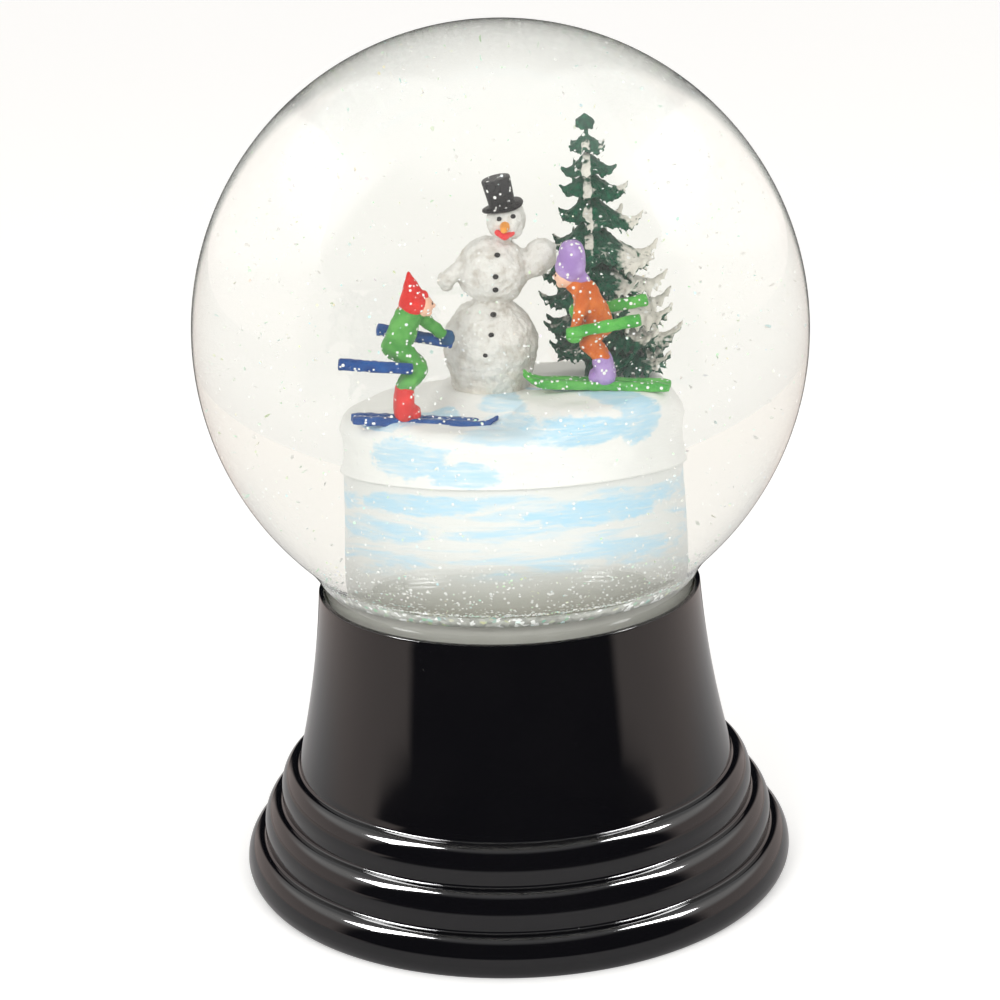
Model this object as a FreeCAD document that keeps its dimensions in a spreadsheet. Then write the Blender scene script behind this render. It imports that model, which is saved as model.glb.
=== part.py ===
import FreeCAD, Part
import math
import os
import random
import Sketcher

# Snow globe: a water-filled blown-glass ball with a skiing scene, stopped with a rubber plug and
# bedded in a hollow moulded base with three beads. Millimetres, +Z up, origin on the table at the
# centre of the base. The scene faces -Y.

DOC = FreeCAD.newDocument("snow_globe")
SHEET = DOC.addObject("Spreadsheet::Sheet", "sizes")

DRIVING_SIZES = {
    # glass
    "globe_radius": 40.0,
    "glass_wall": 1.8,
    "neck_radius": 24.3,
    "neck_blend": 12.0,
    "neck_length": 10.0,
    # base shell
    "base_height": 39.7,
    "neck_set_down": 3.1,
    "rim_gap": 0.25,
    "rim_wall": 0.75,
    "waist_flare": 4.1,
    "waist_curve": 140.0,
    "bead_top": 15.0,
    "bead_pitch": 4.9,
    "bead_step": 2.6,
    "bead_cove": 0.35,
    "foot_tuck": 0.9,
    "foot_rise": 2.0,
    "shell_wall": 2.0,
    "ledge_width": 5.0,
    "ledge_thickness": 2.4,
    "rib_thickness": 1.6,
    "rib_count": 6.0,
    # underside
    "foot_wall": 1.6,
    "cover_lip": 1.2,
    "cover_thickness": 1.6,
    "cover_fit": 0.1,
    "felt_thickness": 1.0,
    "felt_margin": 0.4,
    # glue and stopper
    "glue_thickness": 0.4,
    "flange_thickness": 2.0,
    "seal_height": 1.3,
    "seal_gap": 1.5,
    "seal_stand": 0.3,
    "stopper_rise": 2.6,
    "stopper_hollow": 16.0,
    "stopper_crown": 7.5,
    # scene
    "pedestal_radius": 16.5,
    "pedestal_height": 18.2,
    "scene_offset": 0.8,
    "terrain_overhang": 0.3,
    "terrain_height": 5.6,
    "terrain_round": 1.6,
    "plateau_radius": 12.0,
    "plateau_rise": 2.3,
    "snow_bed": 1.7,
    "snowman_height": 20.8,
    "tree_height": 25.9,
    "tree_spread": 7.9,
    "trunk_radius": 0.9,
    "skier_height": 14.9,
    "ski_length": 14.8,
    "ski_width": 1.3,
    "ski_thickness": 0.9,
    "ski_gap": 0.5,
    "pole_radius": 0.6,
    "pole_length": 7.6,
    "flake_radius": 0.42,
    "flake_thickness": 0.14,
    "flake_count": 56.0,
    "flake_clearance": 2.0,
}

# The figures' shapes are given at these heights, and follow the sheet from there.
SNOWMAN_DRAWN_HEIGHT = 20.8
SKIER_DRAWN_HEIGHT = 14.9


class Size:
    """A number and the expression that gives it, so that a feature's size stays tied to the sheet."""

    def __init__(self, value, text):
        self.value = float(value)
        self.text = text

    def _join(self, other, sign, result):
        text = other.text if isinstance(other, Size) else repr(float(other))
        return Size(result, f"({self.text} {sign} {text})")

    def __add__(self, other):
        return self._join(other, "+", self.value + float(other))

    def __sub__(self, other):
        return self._join(other, "-", self.value - float(other))

    def __mul__(self, other):
        return self._join(other, "*", self.value * float(other))

    def __truediv__(self, other):
        return self._join(other, "/", self.value / float(other))

    def __float__(self):
        return self.value

    __radd__ = __add__
    __rmul__ = __mul__


def fill_sheet():
    """Writes each driving size in its own cell, with its name as the cell's alias."""
    for row, (name, value) in enumerate(DRIVING_SIZES.items(), start=1):
        SHEET.set(f"A{row}", name)
        SHEET.set(f"B{row}", str(value))
        SHEET.setAlias(f"B{row}", name)
    DOC.recompute()


def size(name):
    return Size(float(SHEET.get(name)), f"sizes.{name}")


def root(number):
    return Size(math.sqrt(number.value), f"sqrt({number.text})")


def settle(thing, prop, number):
    """Sets a property, and ties it to the sheet if the number comes from there."""
    setattr(thing, prop, float(number))
    if isinstance(number, Size):
        thing.setExpression(prop, number.text)


def place(thing, at, turn=None):
    """Puts a feature at a point whose coordinates come from the sheet."""
    spot = FreeCAD.Vector(*(float(number) for number in at))
    thing.Placement = FreeCAD.Placement(spot, turn or FreeCAD.Rotation())
    for axis, number in zip("xyz", at):
        if isinstance(number, Size):
            thing.setExpression(f"Placement.Base.{axis}", number.text)


# ---- sketches and turned bodies ----


def arc_between(start, end, radius, left):
    """The shorter arc of that radius from start to end, with its centre left or right of the way."""
    half = math.hypot(end[0] - start[0], end[1] - start[1]) / 2
    along = ((end[0] - start[0]) / (2 * half), (end[1] - start[1]) / (2 * half))
    rise = math.sqrt(max(radius * radius - half * half, 0.0)) * (1 if left else -1)
    cx = (start[0] + end[0]) / 2 - along[1] * rise
    cy = (start[1] + end[1]) / 2 + along[0] * rise
    first, last = (start, end) if left else (end, start)
    begin = math.atan2(first[1] - cy, first[0] - cx)
    finish = math.atan2(last[1] - cy, last[0] - cx)
    circle = Part.Circle(FreeCAD.Vector(cx, cy, 0), FreeCAD.Vector(0, 0, 1), radius)
    return Part.ArcOfCircle(circle, begin, finish if finish > begin else finish + 2 * math.pi)


def outline(body, name, stops):
    """A closed sketch on the XZ plane.

    Each stop is (x, z) for a straight edge to the next stop, or (x, z, radius, side) for an arc
    whose centre lies on that side of the way, "left" or "right".
    """
    sketch = body.newObject("Sketcher::SketchObject", name)
    plane = next(f for f in body.Origin.OriginFeatures if f.Role == "XZ_Plane")
    sketch.AttachmentSupport = [(plane, "")]
    sketch.MapMode = "FlatFace"
    spots = [(float(stop[0]), float(stop[1])) for stop in stops]
    starts, ends = [], []
    for i, stop in enumerate(stops):
        after = spots[(i + 1) % len(spots)]
        left = len(stop) == 4 and stop[3] == "left"
        if len(stop) == 4:
            sketch.addGeometry(arc_between(spots[i], after, float(stop[2]), left), False)
        else:
            line = Part.LineSegment(FreeCAD.Vector(*spots[i], 0), FreeCAD.Vector(*after, 0))
            sketch.addGeometry(line, False)
        forward = len(stop) == 2 or left
        starts.append(1 if forward else 2)
        ends.append(2 if forward else 1)
    for i in range(len(stops)):
        after = (i + 1) % len(stops)
        sketch.addConstraint(Sketcher.Constraint("Coincident", i, ends[i], after, starts[after]))
    for i, stop in enumerate(stops):
        for kind, number in (("DistanceX", stop[0]), ("DistanceY", stop[1])):
            rule = Sketcher.Constraint(kind, -1, 1, i, starts[i], float(number))
            tie(sketch, sketch.addConstraint(rule), number)
        if len(stop) == 4:
            rule = Sketcher.Constraint("Radius", i, float(stop[2]))
            tie(sketch, sketch.addConstraint(rule), stop[2])
    return sketch


def tie(sketch, index, number):
    if isinstance(number, Size):
        sketch.setExpression(f"Constraints[{index}]", number.text)


def turned(label, stops, at=None):
    """A body turned about the upright axis from its outline in radius and height."""
    body = DOC.addObject("PartDesign::Body", label)
    body.Label = label
    sketch = outline(body, f"{label}_outline", stops)
    feature = body.newObject("PartDesign::Revolution", f"{label}_turned")
    feature.Profile = sketch
    feature.ReferenceAxis = (sketch, ["V_Axis"])
    feature.Angle = 360.0
    body.Tip = feature
    if at is not None:
        place(body, at)
    return body


# ---- primitives and booleans ----

UP = FreeCAD.Vector(0, 0, 1)


def ball(label, at, radius, squash=(1.0, 1.0, 1.0)):
    """A sphere, or an ellipsoid where squash is not the same all ways."""
    if squash == (1.0, 1.0, 1.0):
        thing = DOC.addObject("Part::Sphere", label)
        settle(thing, "Radius", radius)
    else:
        thing = DOC.addObject("Part::Ellipsoid", label)
        settle(thing, "Radius1", radius * squash[2])
        settle(thing, "Radius2", radius * squash[0])
        settle(thing, "Radius3", radius * squash[1])
    place(thing, at)
    return thing


def towards(start, end):
    """The rotation that turns +Z to point from start to end, and the distance between them."""
    way = FreeCAD.Vector(*(float(e) - float(s) for s, e in zip(start, end)))
    return FreeCAD.Rotation(UP, way), way.Length


def rod(label, start, end, radius):
    """A round bar between two points."""
    thing = DOC.addObject("Part::Cylinder", label)
    turn, length = towards(start, end)
    settle(thing, "Radius", radius)
    thing.Height = length
    place(thing, start, turn)
    return thing


def taper(label, start, end, radius, end_radius):
    """A round bar that narrows, or a pointed cone where end_radius is 0."""
    thing = DOC.addObject("Part::Cone", label)
    turn, length = towards(start, end)
    settle(thing, "Radius1", radius)
    settle(thing, "Radius2", end_radius)
    thing.Height = length
    place(thing, start, turn)
    return thing


def fused(label, pieces):
    thing = DOC.addObject("Part::MultiFuse", label)
    thing.Shapes = pieces
    return thing


def cut(label, base, tools):
    thing = DOC.addObject("Part::Cut", label)
    thing.Base = base
    thing.Tool = tools[0] if len(tools) == 1 else fused(f"{label}_cutters", tools)
    return thing


fill_sheet()

# ---- heights and radii that several pieces share ----
GLOBE_RADIUS = size("globe_radius")
GLASS_WALL = size("glass_wall")
NECK_RADIUS = size("neck_radius")
NECK_BLEND = size("neck_blend")
NECK_BORE = NECK_RADIUS - GLASS_WALL
BASE_HEIGHT = size("base_height")
NECK_TOP = BASE_HEIGHT - size("neck_set_down")
NECK_BOTTOM = NECK_TOP - size("neck_length")
BLEND_X = NECK_RADIUS + NECK_BLEND
BLEND_REACH = GLOBE_RADIUS + NECK_BLEND
BLEND_FALL = root(BLEND_REACH * BLEND_REACH - BLEND_X * BLEND_X)
GLOBE_CENTRE = NECK_TOP + BLEND_FALL
FLANGE_BOTTOM = NECK_BOTTOM - size("flange_thickness")
LEDGE_BOTTOM = FLANGE_BOTTOM - size("ledge_thickness")
POCKET_RADIUS = NECK_RADIUS + size("glue_thickness")
STOPPER_TOP = BASE_HEIGHT + size("stopper_rise")
PEDESTAL_TOP = STOPPER_TOP + size("pedestal_height")
SCENE_X = size("scene_offset")
LOW_GROUND = PEDESTAL_TOP + size("terrain_height")
HIGH_GROUND = LOW_GROUND + size("plateau_rise")

# ---- where each figure's foot stands ----
SNOWMAN_AT = (SCENE_X - 1.9, 0.0, HIGH_GROUND - 0.6)
TREE_AT = (SCENE_X + 8.1, 5.0, HIGH_GROUND - 0.5)
RED_CAP_AT = (SCENE_X - 10.8, -8.0, LOW_GROUND + 1.1)
PURPLE_CAP_AT = (SCENE_X + 9.5, -5.2, HIGH_GROUND + 1.3)


# ---- base ----
SHELL_WALL = size("shell_wall")
SET_DOWN = size("neck_set_down")
BLEND_AT_RIM = BLEND_X - root(NECK_BLEND * NECK_BLEND - SET_DOWN * SET_DOWN)
RIM_INNER = BLEND_AT_RIM + size("rim_gap")
RIM_OUTER = RIM_INNER + size("rim_wall")
WAIST_FOOT = RIM_OUTER + size("waist_flare")
BEAD_TOP = size("bead_top")
BEAD_COVE = size("bead_cove")
BEAD_STEP = size("bead_step")
BEAD_ROUND = BEAD_STEP - BEAD_COVE
FOOT_TUCK = size("foot_tuck")
FOOT_RISE = size("foot_rise")
FOOT_CURVE = (FOOT_TUCK * FOOT_TUCK + FOOT_RISE * FOOT_RISE) / (FOOT_TUCK * 2.0)
FOOT_EDGE = WAIST_FOOT + BEAD_STEP * 3.0 - FOOT_TUCK
COVER_RADIUS = FOOT_EDGE - size("foot_wall")
COVER_SEAT = size("felt_thickness") + size("cover_thickness")
LEDGE_INNER = POCKET_RADIUS - size("ledge_width")


def make_base_shell():
    """The moulded shell: a flared waist over three beads, with a ribbed ledge that carries the glass."""
    stops = [(RIM_OUTER, BASE_HEIGHT, size("waist_curve"), "left")]
    for bead in range(3):
        top = BEAD_TOP - size("bead_pitch") * float(bead)
        inner = WAIST_FOOT + BEAD_STEP * float(bead)
        stops.append((inner, top + BEAD_COVE, BEAD_COVE, "left"))
        stops.append((inner + BEAD_COVE, top, BEAD_ROUND, "right"))
        stops.append((inner + BEAD_STEP, top - BEAD_ROUND))
    stops += [
        (FOOT_EDGE + FOOT_TUCK, FOOT_RISE, FOOT_CURVE, "right"),
        (FOOT_EDGE, 0.0),
        (COVER_RADIUS, 0.0),
        (COVER_RADIUS, COVER_SEAT),
        (COVER_RADIUS - size("cover_lip"), COVER_SEAT),
        (WAIST_FOOT - SHELL_WALL, BEAD_TOP),
        (POCKET_RADIUS + SHELL_WALL * 0.25, LEDGE_BOTTOM),
        (LEDGE_INNER, LEDGE_BOTTOM),
        (LEDGE_INNER, FLANGE_BOTTOM),
        (POCKET_RADIUS, FLANGE_BOTTOM),
        (POCKET_RADIUS, NECK_TOP),
        (RIM_INNER, BASE_HEIGHT),
    ]
    body = turned("base_shell", stops)
    root_height = LEDGE_BOTTOM + size("ledge_thickness") * 0.3
    rib_stops = [
        (LEDGE_INNER + 0.5, root_height),
        (WAIST_FOOT - SHELL_WALL * 0.5, BEAD_TOP),
        (POCKET_RADIUS + SHELL_WALL * 0.75, root_height),
    ]
    sketch = outline(body, "rib_outline", rib_stops)
    rib = body.newObject("PartDesign::Pad", "rib")
    rib.Profile = sketch
    rib.Midplane = True
    settle(rib, "Length", size("rib_thickness"))
    ribs = body.newObject("PartDesign::PolarPattern", "ribs")
    ribs.Originals = [rib]
    ribs.Axis = (sketch, ["V_Axis"])
    ribs.Angle = 360.0
    ribs.Occurrences = int(float(size("rib_count")))
    body.Tip = ribs
    return body


def disc(label, radius, bottom, top):
    return turned(label, [(0.0, top), (radius, top), (radius, bottom), (0.0, bottom)])


# ---- glass, glue and stopper ----


def glass_stop(radius):
    """Where the sphere of that radius runs into the blend to the neck."""
    share = radius / BLEND_REACH
    return BLEND_X * share, GLOBE_CENTRE - BLEND_FALL * share


INNER_RADIUS = GLOBE_RADIUS - GLASS_WALL
INNER_BLEND = NECK_BLEND + GLASS_WALL


def make_glass_globe():
    stops = [
        (0.0, GLOBE_CENTRE + GLOBE_RADIUS, GLOBE_RADIUS, "right"),
        (*glass_stop(GLOBE_RADIUS), NECK_BLEND, "left"),
        (NECK_RADIUS, NECK_TOP),
        (NECK_RADIUS, NECK_BOTTOM),
        (NECK_BORE, NECK_BOTTOM),
        (NECK_BORE, NECK_TOP, INNER_BLEND, "right"),
        (*glass_stop(INNER_RADIUS), INNER_RADIUS, "left"),
        (0.0, GLOBE_CENTRE + INNER_RADIUS),
    ]
    return turned("glass_globe", stops)


def make_glass_inside(label):
    """The space inside the glass, down to the top seal of the stopper."""
    stops = [
        (0.0, GLOBE_CENTRE + INNER_RADIUS, INNER_RADIUS, "right"),
        (*glass_stop(INNER_RADIUS), INNER_BLEND, "left"),
        (NECK_BORE, NECK_TOP),
        (0.0, NECK_TOP),
    ]
    return turned(label, stops)


def make_neck_adhesive():
    """The glue between the neck and its pocket in the base."""
    stops = [
        (NECK_RADIUS, NECK_TOP),
        (POCKET_RADIUS, NECK_TOP),
        (POCKET_RADIUS, NECK_BOTTOM),
        (NECK_RADIUS, NECK_BOTTOM),
    ]
    return turned("neck_adhesive", stops)


def make_rubber_stopper():
    """A cup-shaped plug with three seals against the bore and a flange under the lip of the glass."""
    stem = NECK_BORE - size("seal_stand")
    stops = [(0.0, STOPPER_TOP), (stem, STOPPER_TOP)]
    for seal in range(3):
        top = NECK_TOP - (size("seal_height") + size("seal_gap")) * float(seal)
        bottom = top - size("seal_height")
        stops += [(stem, top), (NECK_BORE, top), (NECK_BORE, bottom), (stem, bottom)]
    hollow = size("stopper_hollow")
    roof = STOPPER_TOP - size("stopper_crown")
    stops += [
        (stem, NECK_BOTTOM),
        (NECK_RADIUS, NECK_BOTTOM),
        (NECK_RADIUS, FLANGE_BOTTOM),
        (hollow, FLANGE_BOTTOM),
        (hollow, roof),
        (0.0, roof),
    ]
    return turned("rubber_stopper", stops)


# ---- ground ----


def rounded_disc(label, at, radius, bottom, top, rounding):
    stops = [
        (0.0, top),
        (radius - rounding, top, rounding, "right"),
        (radius, top - rounding),
        (radius, bottom),
        (0.0, bottom),
    ]
    return turned(label, stops, at)


# Each drift: its name, where it lies from the middle of the scene, how far its centre is sunk below
# the low ground, and its three half-widths as shares of the plateau's rise.
DRIFTS = [
    ("left", -10.6, -5.2, 1.0, (2.4, 3.6, 0.83)),
    ("front", 7.6, -4.0, 0.7, (3.45, 4.6, 1.66)),
    ("back", -3.6, 7.8, 1.2, (3.8, 3.0, 1.3)),
]
# The plateau lies against the slab's edge, behind and to the right.
PLATEAU_WAY = (0.8, 0.55)
PLATEAU_ROOT = 0.5


def make_ground():
    """The rough ground before the figures' seats are cut: a slab, a raised plateau and three drifts."""
    rounding = size("terrain_round")
    slab_radius = size("pedestal_radius") + size("terrain_overhang")
    plateau = size("plateau_radius")
    rise = size("plateau_rise")
    shift = slab_radius - plateau
    middle = (SCENE_X, 0.0, 0.0)
    slab = rounded_disc("ground_slab", middle, slab_radius, PEDESTAL_TOP, LOW_GROUND, rounding)
    step = rounded_disc(
        "ground_plateau",
        (SCENE_X + shift * PLATEAU_WAY[0], shift * PLATEAU_WAY[1], 0.0),
        plateau,
        PEDESTAL_TOP + PLATEAU_ROOT,
        HIGH_GROUND,
        rounding,
    )
    drifts = [
        ball(f"ground_drift_{name}", (SCENE_X + x, y, LOW_GROUND - sunk), rise, shape)
        for name, x, y, sunk, shape in DRIFTS
    ]
    return fused("ground", [slab, step, *drifts])


# ---- snowman ----


class Figure:
    """Points and sizes of a figure, drawn at one height and scaled from the sheet."""

    def __init__(self, at, scale, heading=1.0):
        self.at = at
        self.scale = scale
        self.heading = heading

    def point(self, x, y, z):
        """A point given from the figure's feet; x is the way it faces."""
        offsets = (x * self.heading, y, z)
        return tuple(base + self.scale * offset for base, offset in zip(self.at, offsets))

    def length(self, drawn):
        return self.scale * drawn


# Eyes and buttons: radius, and place from the snowman's foot.
COAL = [
    (0.28, (1.3, -1.75, 17.05)),
    (0.28, (2.75, -1.7, 17.1)),
    (0.34, (1.15, -3.35, 12.8)),
    (0.34, (1.0, -3.47, 11.3)),
    (0.34, (0.95, -3.3, 10.1)),
    (0.36, (0.35, -4.45, 6.9)),
    (0.36, (0.1, -4.86, 5.2)),
    (0.36, (-0.05, -4.8, 3.6)),
]
# Stub arms: name, root and its radius, tip and its radius, rounded end and its radius.
ARMS = [
    ("arm_down", (-1.6, 0.1, 12.9), 1.1, (-3.9, -0.6, 11.4), 0.75, (-3.95, -0.6, 11.35), 0.85),
    ("arm_up", (2.8, 0.1, 12.4), 1.35, (5.1, -0.3, 14.4), 1.05, (5.15, -0.3, 14.45), 1.2),
]


def make_snowman():
    """A leaning snowman of three balls with stub arms, a top hat, a nose and coal."""
    man = Figure(SNOWMAN_AT, size("snowman_height") / SNOWMAN_DRAWN_HEIGHT)
    head_at, head = man.point(2.0, 0, 16.5), man.length(1.95)
    chest_at, chest = man.point(0.75, 0, 11.8), man.length(3.5)
    belly_at, belly = man.point(0, 0, 4.8), man.length(4.9)
    brim_low, brim_high = man.point(1.8, 0, 17.7), man.point(1.75, 0, 18.1)
    brim = rod("hat_brim", brim_low, brim_high, man.length(2.1))
    crown = taper("hat_crown", brim_low, man.point(1.35, 0, 20.8), man.length(1.35), man.length(1.5))
    hat_whole = fused("hat_whole", [brim, crown])
    nose_root, nose_tip = man.point(1.9, -1.5, 16.3), man.point(1.75, -3.3, 16.0)
    nose_whole = taper("nose_cone", nose_root, nose_tip, man.length(0.55), man.length(0.1))
    coal = [ball(f"coal_{i}", man.point(*at), man.length(radius)) for i, (radius, at) in enumerate(COAL)]
    arms = []
    for name, root_at, root_radius, tip_at, tip_radius, end_at, end_radius in ARMS:
        start, tip, end = man.point(*root_at), man.point(*tip_at), man.point(*end_at)
        arms.append(taper(name, start, tip, man.length(root_radius), man.length(tip_radius)))
        arms.append(ball(f"{name}_end", end, man.length(end_radius)))
    balls = [ball("head", head_at, head), ball("chest", chest_at, chest), ball("belly", belly_at, belly)]
    body = fused("snowman_body", [*balls, *arms])
    return {
        "snowman_body": body,
        "snowman_hat": cut("snowman_hat", hat_whole, [balls[0]]),
        "snowman_nose": cut("snowman_nose", nose_whole, [balls[0]]),
        "snowman_coal": cut("snowman_coal", fused("coal_whole", coal), balls),
    }


# ---- tree ----


# Shares of the tree's height: the trunk, the lowest skirt of branches, one skirt to the next, and a
# skirt's own rise. Shares of a radius: how the trunk and a skirt narrow, and the skirts shrink upwards.
TRUNK_SHARE = 0.86
TRUNK_NARROWING = 0.3
SKIRT_COUNT = 7
SKIRT_LOWEST = 0.06
SKIRT_PITCH = 0.126
SKIRT_RISE = 0.26
SKIRT_SHRINK = 0.115
SKIRT_NARROWING = 0.16


def make_tree(beside):
    """A spruce: a trunk and skirts of branches that widen downwards, clear of what is beside it."""
    spread, height = size("tree_spread"), size("tree_height")
    foot = TREE_AT
    trunk_top = (foot[0], foot[1], foot[2] + height * TRUNK_SHARE)
    trunk_end = size("trunk_radius") * TRUNK_NARROWING
    trunk = taper("spruce_trunk", foot, trunk_top, size("trunk_radius"), trunk_end)
    skirts = []
    for i in range(SKIRT_COUNT):
        low = SKIRT_LOWEST + SKIRT_PITCH * i
        high = min(low + SKIRT_RISE, 1.0)
        reach = spread * (1.0 - SKIRT_SHRINK * i)
        start = (foot[0], foot[1], foot[2] + height * low)
        end = (foot[0], foot[1], foot[2] + height * high)
        skirts.append(taper(f"skirt_{i}", start, end, reach, reach * SKIRT_NARROWING))
    branches = cut("spruce_branches", fused("skirts", skirts), [trunk, beside])
    return {"spruce_trunk": trunk, "spruce_branches": branches}


# ---- skiers ----


# A ski's rolled tip: how far its middle is lifted, and its radius as a share of the thickness.
SKI_TIP_LIFT = 0.15
SKI_TIP_SHARE = 0.62


def ski_pair(label, figure, slope, back):
    """Two skis side by side on the slope, with turned-up tips; back is the share behind the boots."""
    length, width, thick = size("ski_length"), size("ski_width"), size("ski_thickness")
    tilt = FreeCAD.Rotation(FreeCAD.Vector(0, 1, 0), slope)
    pieces = []
    for side, name in ((-1.0, "near"), (1.0, "far")):
        middle = (width + size("ski_gap")) * (side * 0.5)
        low = -1.0 if figure.heading > 0 else -(1.0 - back) / back
        board = DOC.addObject("Part::Box", f"{label}_{name}_board")
        settle(board, "Length", length)
        settle(board, "Width", width)
        settle(board, "Height", thick)
        sine, cosine = math.sin(math.radians(slope)), math.cos(math.radians(slope))
        reach = length * (back * low)
        corner = (
            figure.at[0] + reach * cosine - thick * sine,
            figure.at[1] + middle - width * 0.5,
            figure.at[2] - reach * sine - thick * cosine,
        )
        place(board, corner, tilt)
        tip_reach = length * ((1.0 - back) * figure.heading)
        tip_at = (
            figure.at[0] + tip_reach * cosine,
            figure.at[1] + middle + width * 0.5,
            figure.at[2] - tip_reach * sine - thick * (0.5 * cosine) + SKI_TIP_LIFT,
        )
        tip_end = (tip_at[0], tip_at[1] - width, tip_at[2])
        tip = rod(f"{label}_{name}_tip", tip_at, tip_end, thick * SKI_TIP_SHARE)
        pieces.append(fused(f"{label}_{name}", [board, tip]))
    skis = DOC.addObject("Part::Compound", label)
    skis.Links = pieces
    return skis


def pole(label, figure, grip, away):
    """One ski pole from its grip, away along a direction given in the figure's own x, y and z."""
    length = size("pole_length")
    span = math.sqrt(sum(part * part for part in away))
    start = figure.point(*grip)
    steps = (away[0] * figure.heading, away[1], away[2])
    end = tuple(base + length * (step / span) for base, step in zip(start, steps))
    return rod(label, start, end, size("pole_radius"))


# Radii of a skier's limbs and clothes, at the drawn height, and the feet's distance from the middle.
BOOT, TOE, SHIN, KNEE, THIGH = 0.95, 0.72, 0.85, 1.0, 1.25
SLEEVE, MITT, HEAD, CAP, SEAT, SHOULDERS = 0.6, 1.0, 1.15, 1.75, 1.6, 1.45
STANCE = 0.85
# A mitt is turned so that its sphere's seam lies across the pole that runs through it.
SEAM_ASIDE = 90.0
SEAT_SHARE = 0.7


def make_skier(name, at, heading, slope, back, pose):
    """A crouching skier; pose gives the joints of the figure from the top of the skis."""
    man = Figure(at, size("skier_height") / SKIER_DRAWN_HEIGHT, heading)
    skis = ski_pair(f"{name}_skis", man, slope, back)
    poles = DOC.addObject("Part::Compound", f"{name}_poles")
    poles.Links = [
        pole(f"{name}_pole_{i}", man, grip, away) for i, (grip, away) in enumerate(pose["poles"])
    ]
    boots, legs, sleeves, mitts = [], [], [], []
    for side, tag in ((-1.0, "near"), (1.0, "far")):
        across = STANCE * side
        ankle = man.point(pose["ankle"][0], across, pose["ankle"][1])
        knee = man.point(pose["knee"][0], across, pose["knee"][1])
        hip = man.point(pose["hip"][0], across * SEAT_SHARE, pose["hip"][1])
        boots += [
            rod(f"{name}_boot_{tag}", man.point(0, across, 0), ankle, man.length(BOOT)),
            ball(f"{name}_toe_{tag}", man.point(0.75, across, 0.3), man.length(TOE)),
        ]
        legs += [
            taper(f"{name}_shin_{tag}", ankle, knee, man.length(SHIN), man.length(KNEE)),
            ball(f"{name}_knee_{tag}", knee, man.length(KNEE)),
            taper(f"{name}_thigh_{tag}", knee, hip, man.length(KNEE), man.length(THIGH)),
        ]
    for i, (shoulder, hand) in enumerate(pose["arms"]):
        start, end = man.point(*shoulder), man.point(*hand)
        sleeves.append(rod(f"{name}_sleeve_{i}", start, end, man.length(SLEEVE)))
        mitt = ball(f"{name}_mitt_{i}", end, man.length(MITT))
        place(mitt, end, FreeCAD.Rotation(UP, SEAM_ASIDE))
        mitts.append(mitt)
    face = ball(f"{name}_head", man.point(*pose["face"]), man.length(HEAD))
    cap_base, cap_tip = man.point(*pose["cap"][0]), man.point(*pose["cap"][1])
    cap_end = man.length(pose["cap_end"])
    cap_parts = [taper(f"{name}_cap_cone", cap_base, cap_tip, man.length(CAP), cap_end)]
    if pose["cap_is_round"]:
        cap_parts.append(ball(f"{name}_cap_top", cap_tip, cap_end))
    cap_whole = fused(f"{name}_cap_felt", cap_parts) if len(cap_parts) > 1 else cap_parts[0]
    hip, shoulder = man.point(pose["hip"][0], 0, pose["hip"][1]), man.point(*pose["shoulder"])
    torso = [
        ball(f"{name}_seat", hip, man.length(SEAT)),
        taper(f"{name}_torso", hip, shoulder, man.length(SEAT), man.length(SHOULDERS)),
        ball(f"{name}_shoulders", shoulder, man.length(SHOULDERS)),
    ]
    whole_mitts = fused(f"{name}_mitts_whole", mitts) if len(mitts) > 1 else mitts[0]
    mitts_cut = cut(f"{name}_mitts", whole_mitts, [poles])
    cap = cut(f"{name}_cap", cap_whole, [face])
    boots_cut = cut(f"{name}_boots", fused(f"{name}_boots_whole", boots), [skis])
    suit_whole = fused(f"{name}_suit_whole", [*legs, *torso, *sleeves])
    suit = cut(f"{name}_suit", suit_whole, [poles, whole_mitts, face, cap_whole, boots_cut])
    return {
        f"{name}_skis": skis,
        f"{name}_poles": poles,
        f"{name}_boots": boots_cut,
        f"{name}_mitts": mitts_cut,
        f"{name}_face": face,
        f"{name}_cap": cap,
        f"{name}_suit": suit,
    }


RED_CAP_POSE = {
    "ankle": (0.1, 3.0),
    "knee": (1.6, 4.9),
    "hip": (-0.5, 7.3),
    "shoulder": (0.7, 0, 10.2),
    "face": (2.2, 0, 11.3),
    "cap": ((1.6, 0, 12.0), (0.9, 0, 14.9)),
    "cap_end": 0.1,
    "cap_is_round": False,
    "arms": [((1.6, 1.0, 10.3), (4.6, 1.9, 7.5))],
    "poles": [((5.1, 2.1, 6.9), (-7.8, 0.3, 1.7)), ((0.9, -2.1, 5.2), (-7.3, -0.2, 0.8))],
}
PURPLE_CAP_POSE = {
    "ankle": (0.3, 2.4),
    "knee": (1.6, 4.0),
    "hip": (0.5, 5.7),
    "shoulder": (1.7, 0, 8.9),
    "face": (3.6, 0, 10.6),
    "cap": ((3.1, 0, 11.5), (2.9, 0, 13.2)),
    "cap_end": 1.4,
    "cap_is_round": True,
    "arms": [((1.9, -1.2, 8.8), (2.9, -2.68, 5.48)), ((1.9, 1.2, 8.8), (2.6, 2.27, 6.37))],
    "poles": [((3.95, -2.6, 5.3), (-7.6, -0.6, 1.3)), ((3.65, 2.2, 6.2), (-7.6, 0.5, 1.2))],
}


# ---- snow in the water ----


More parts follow.
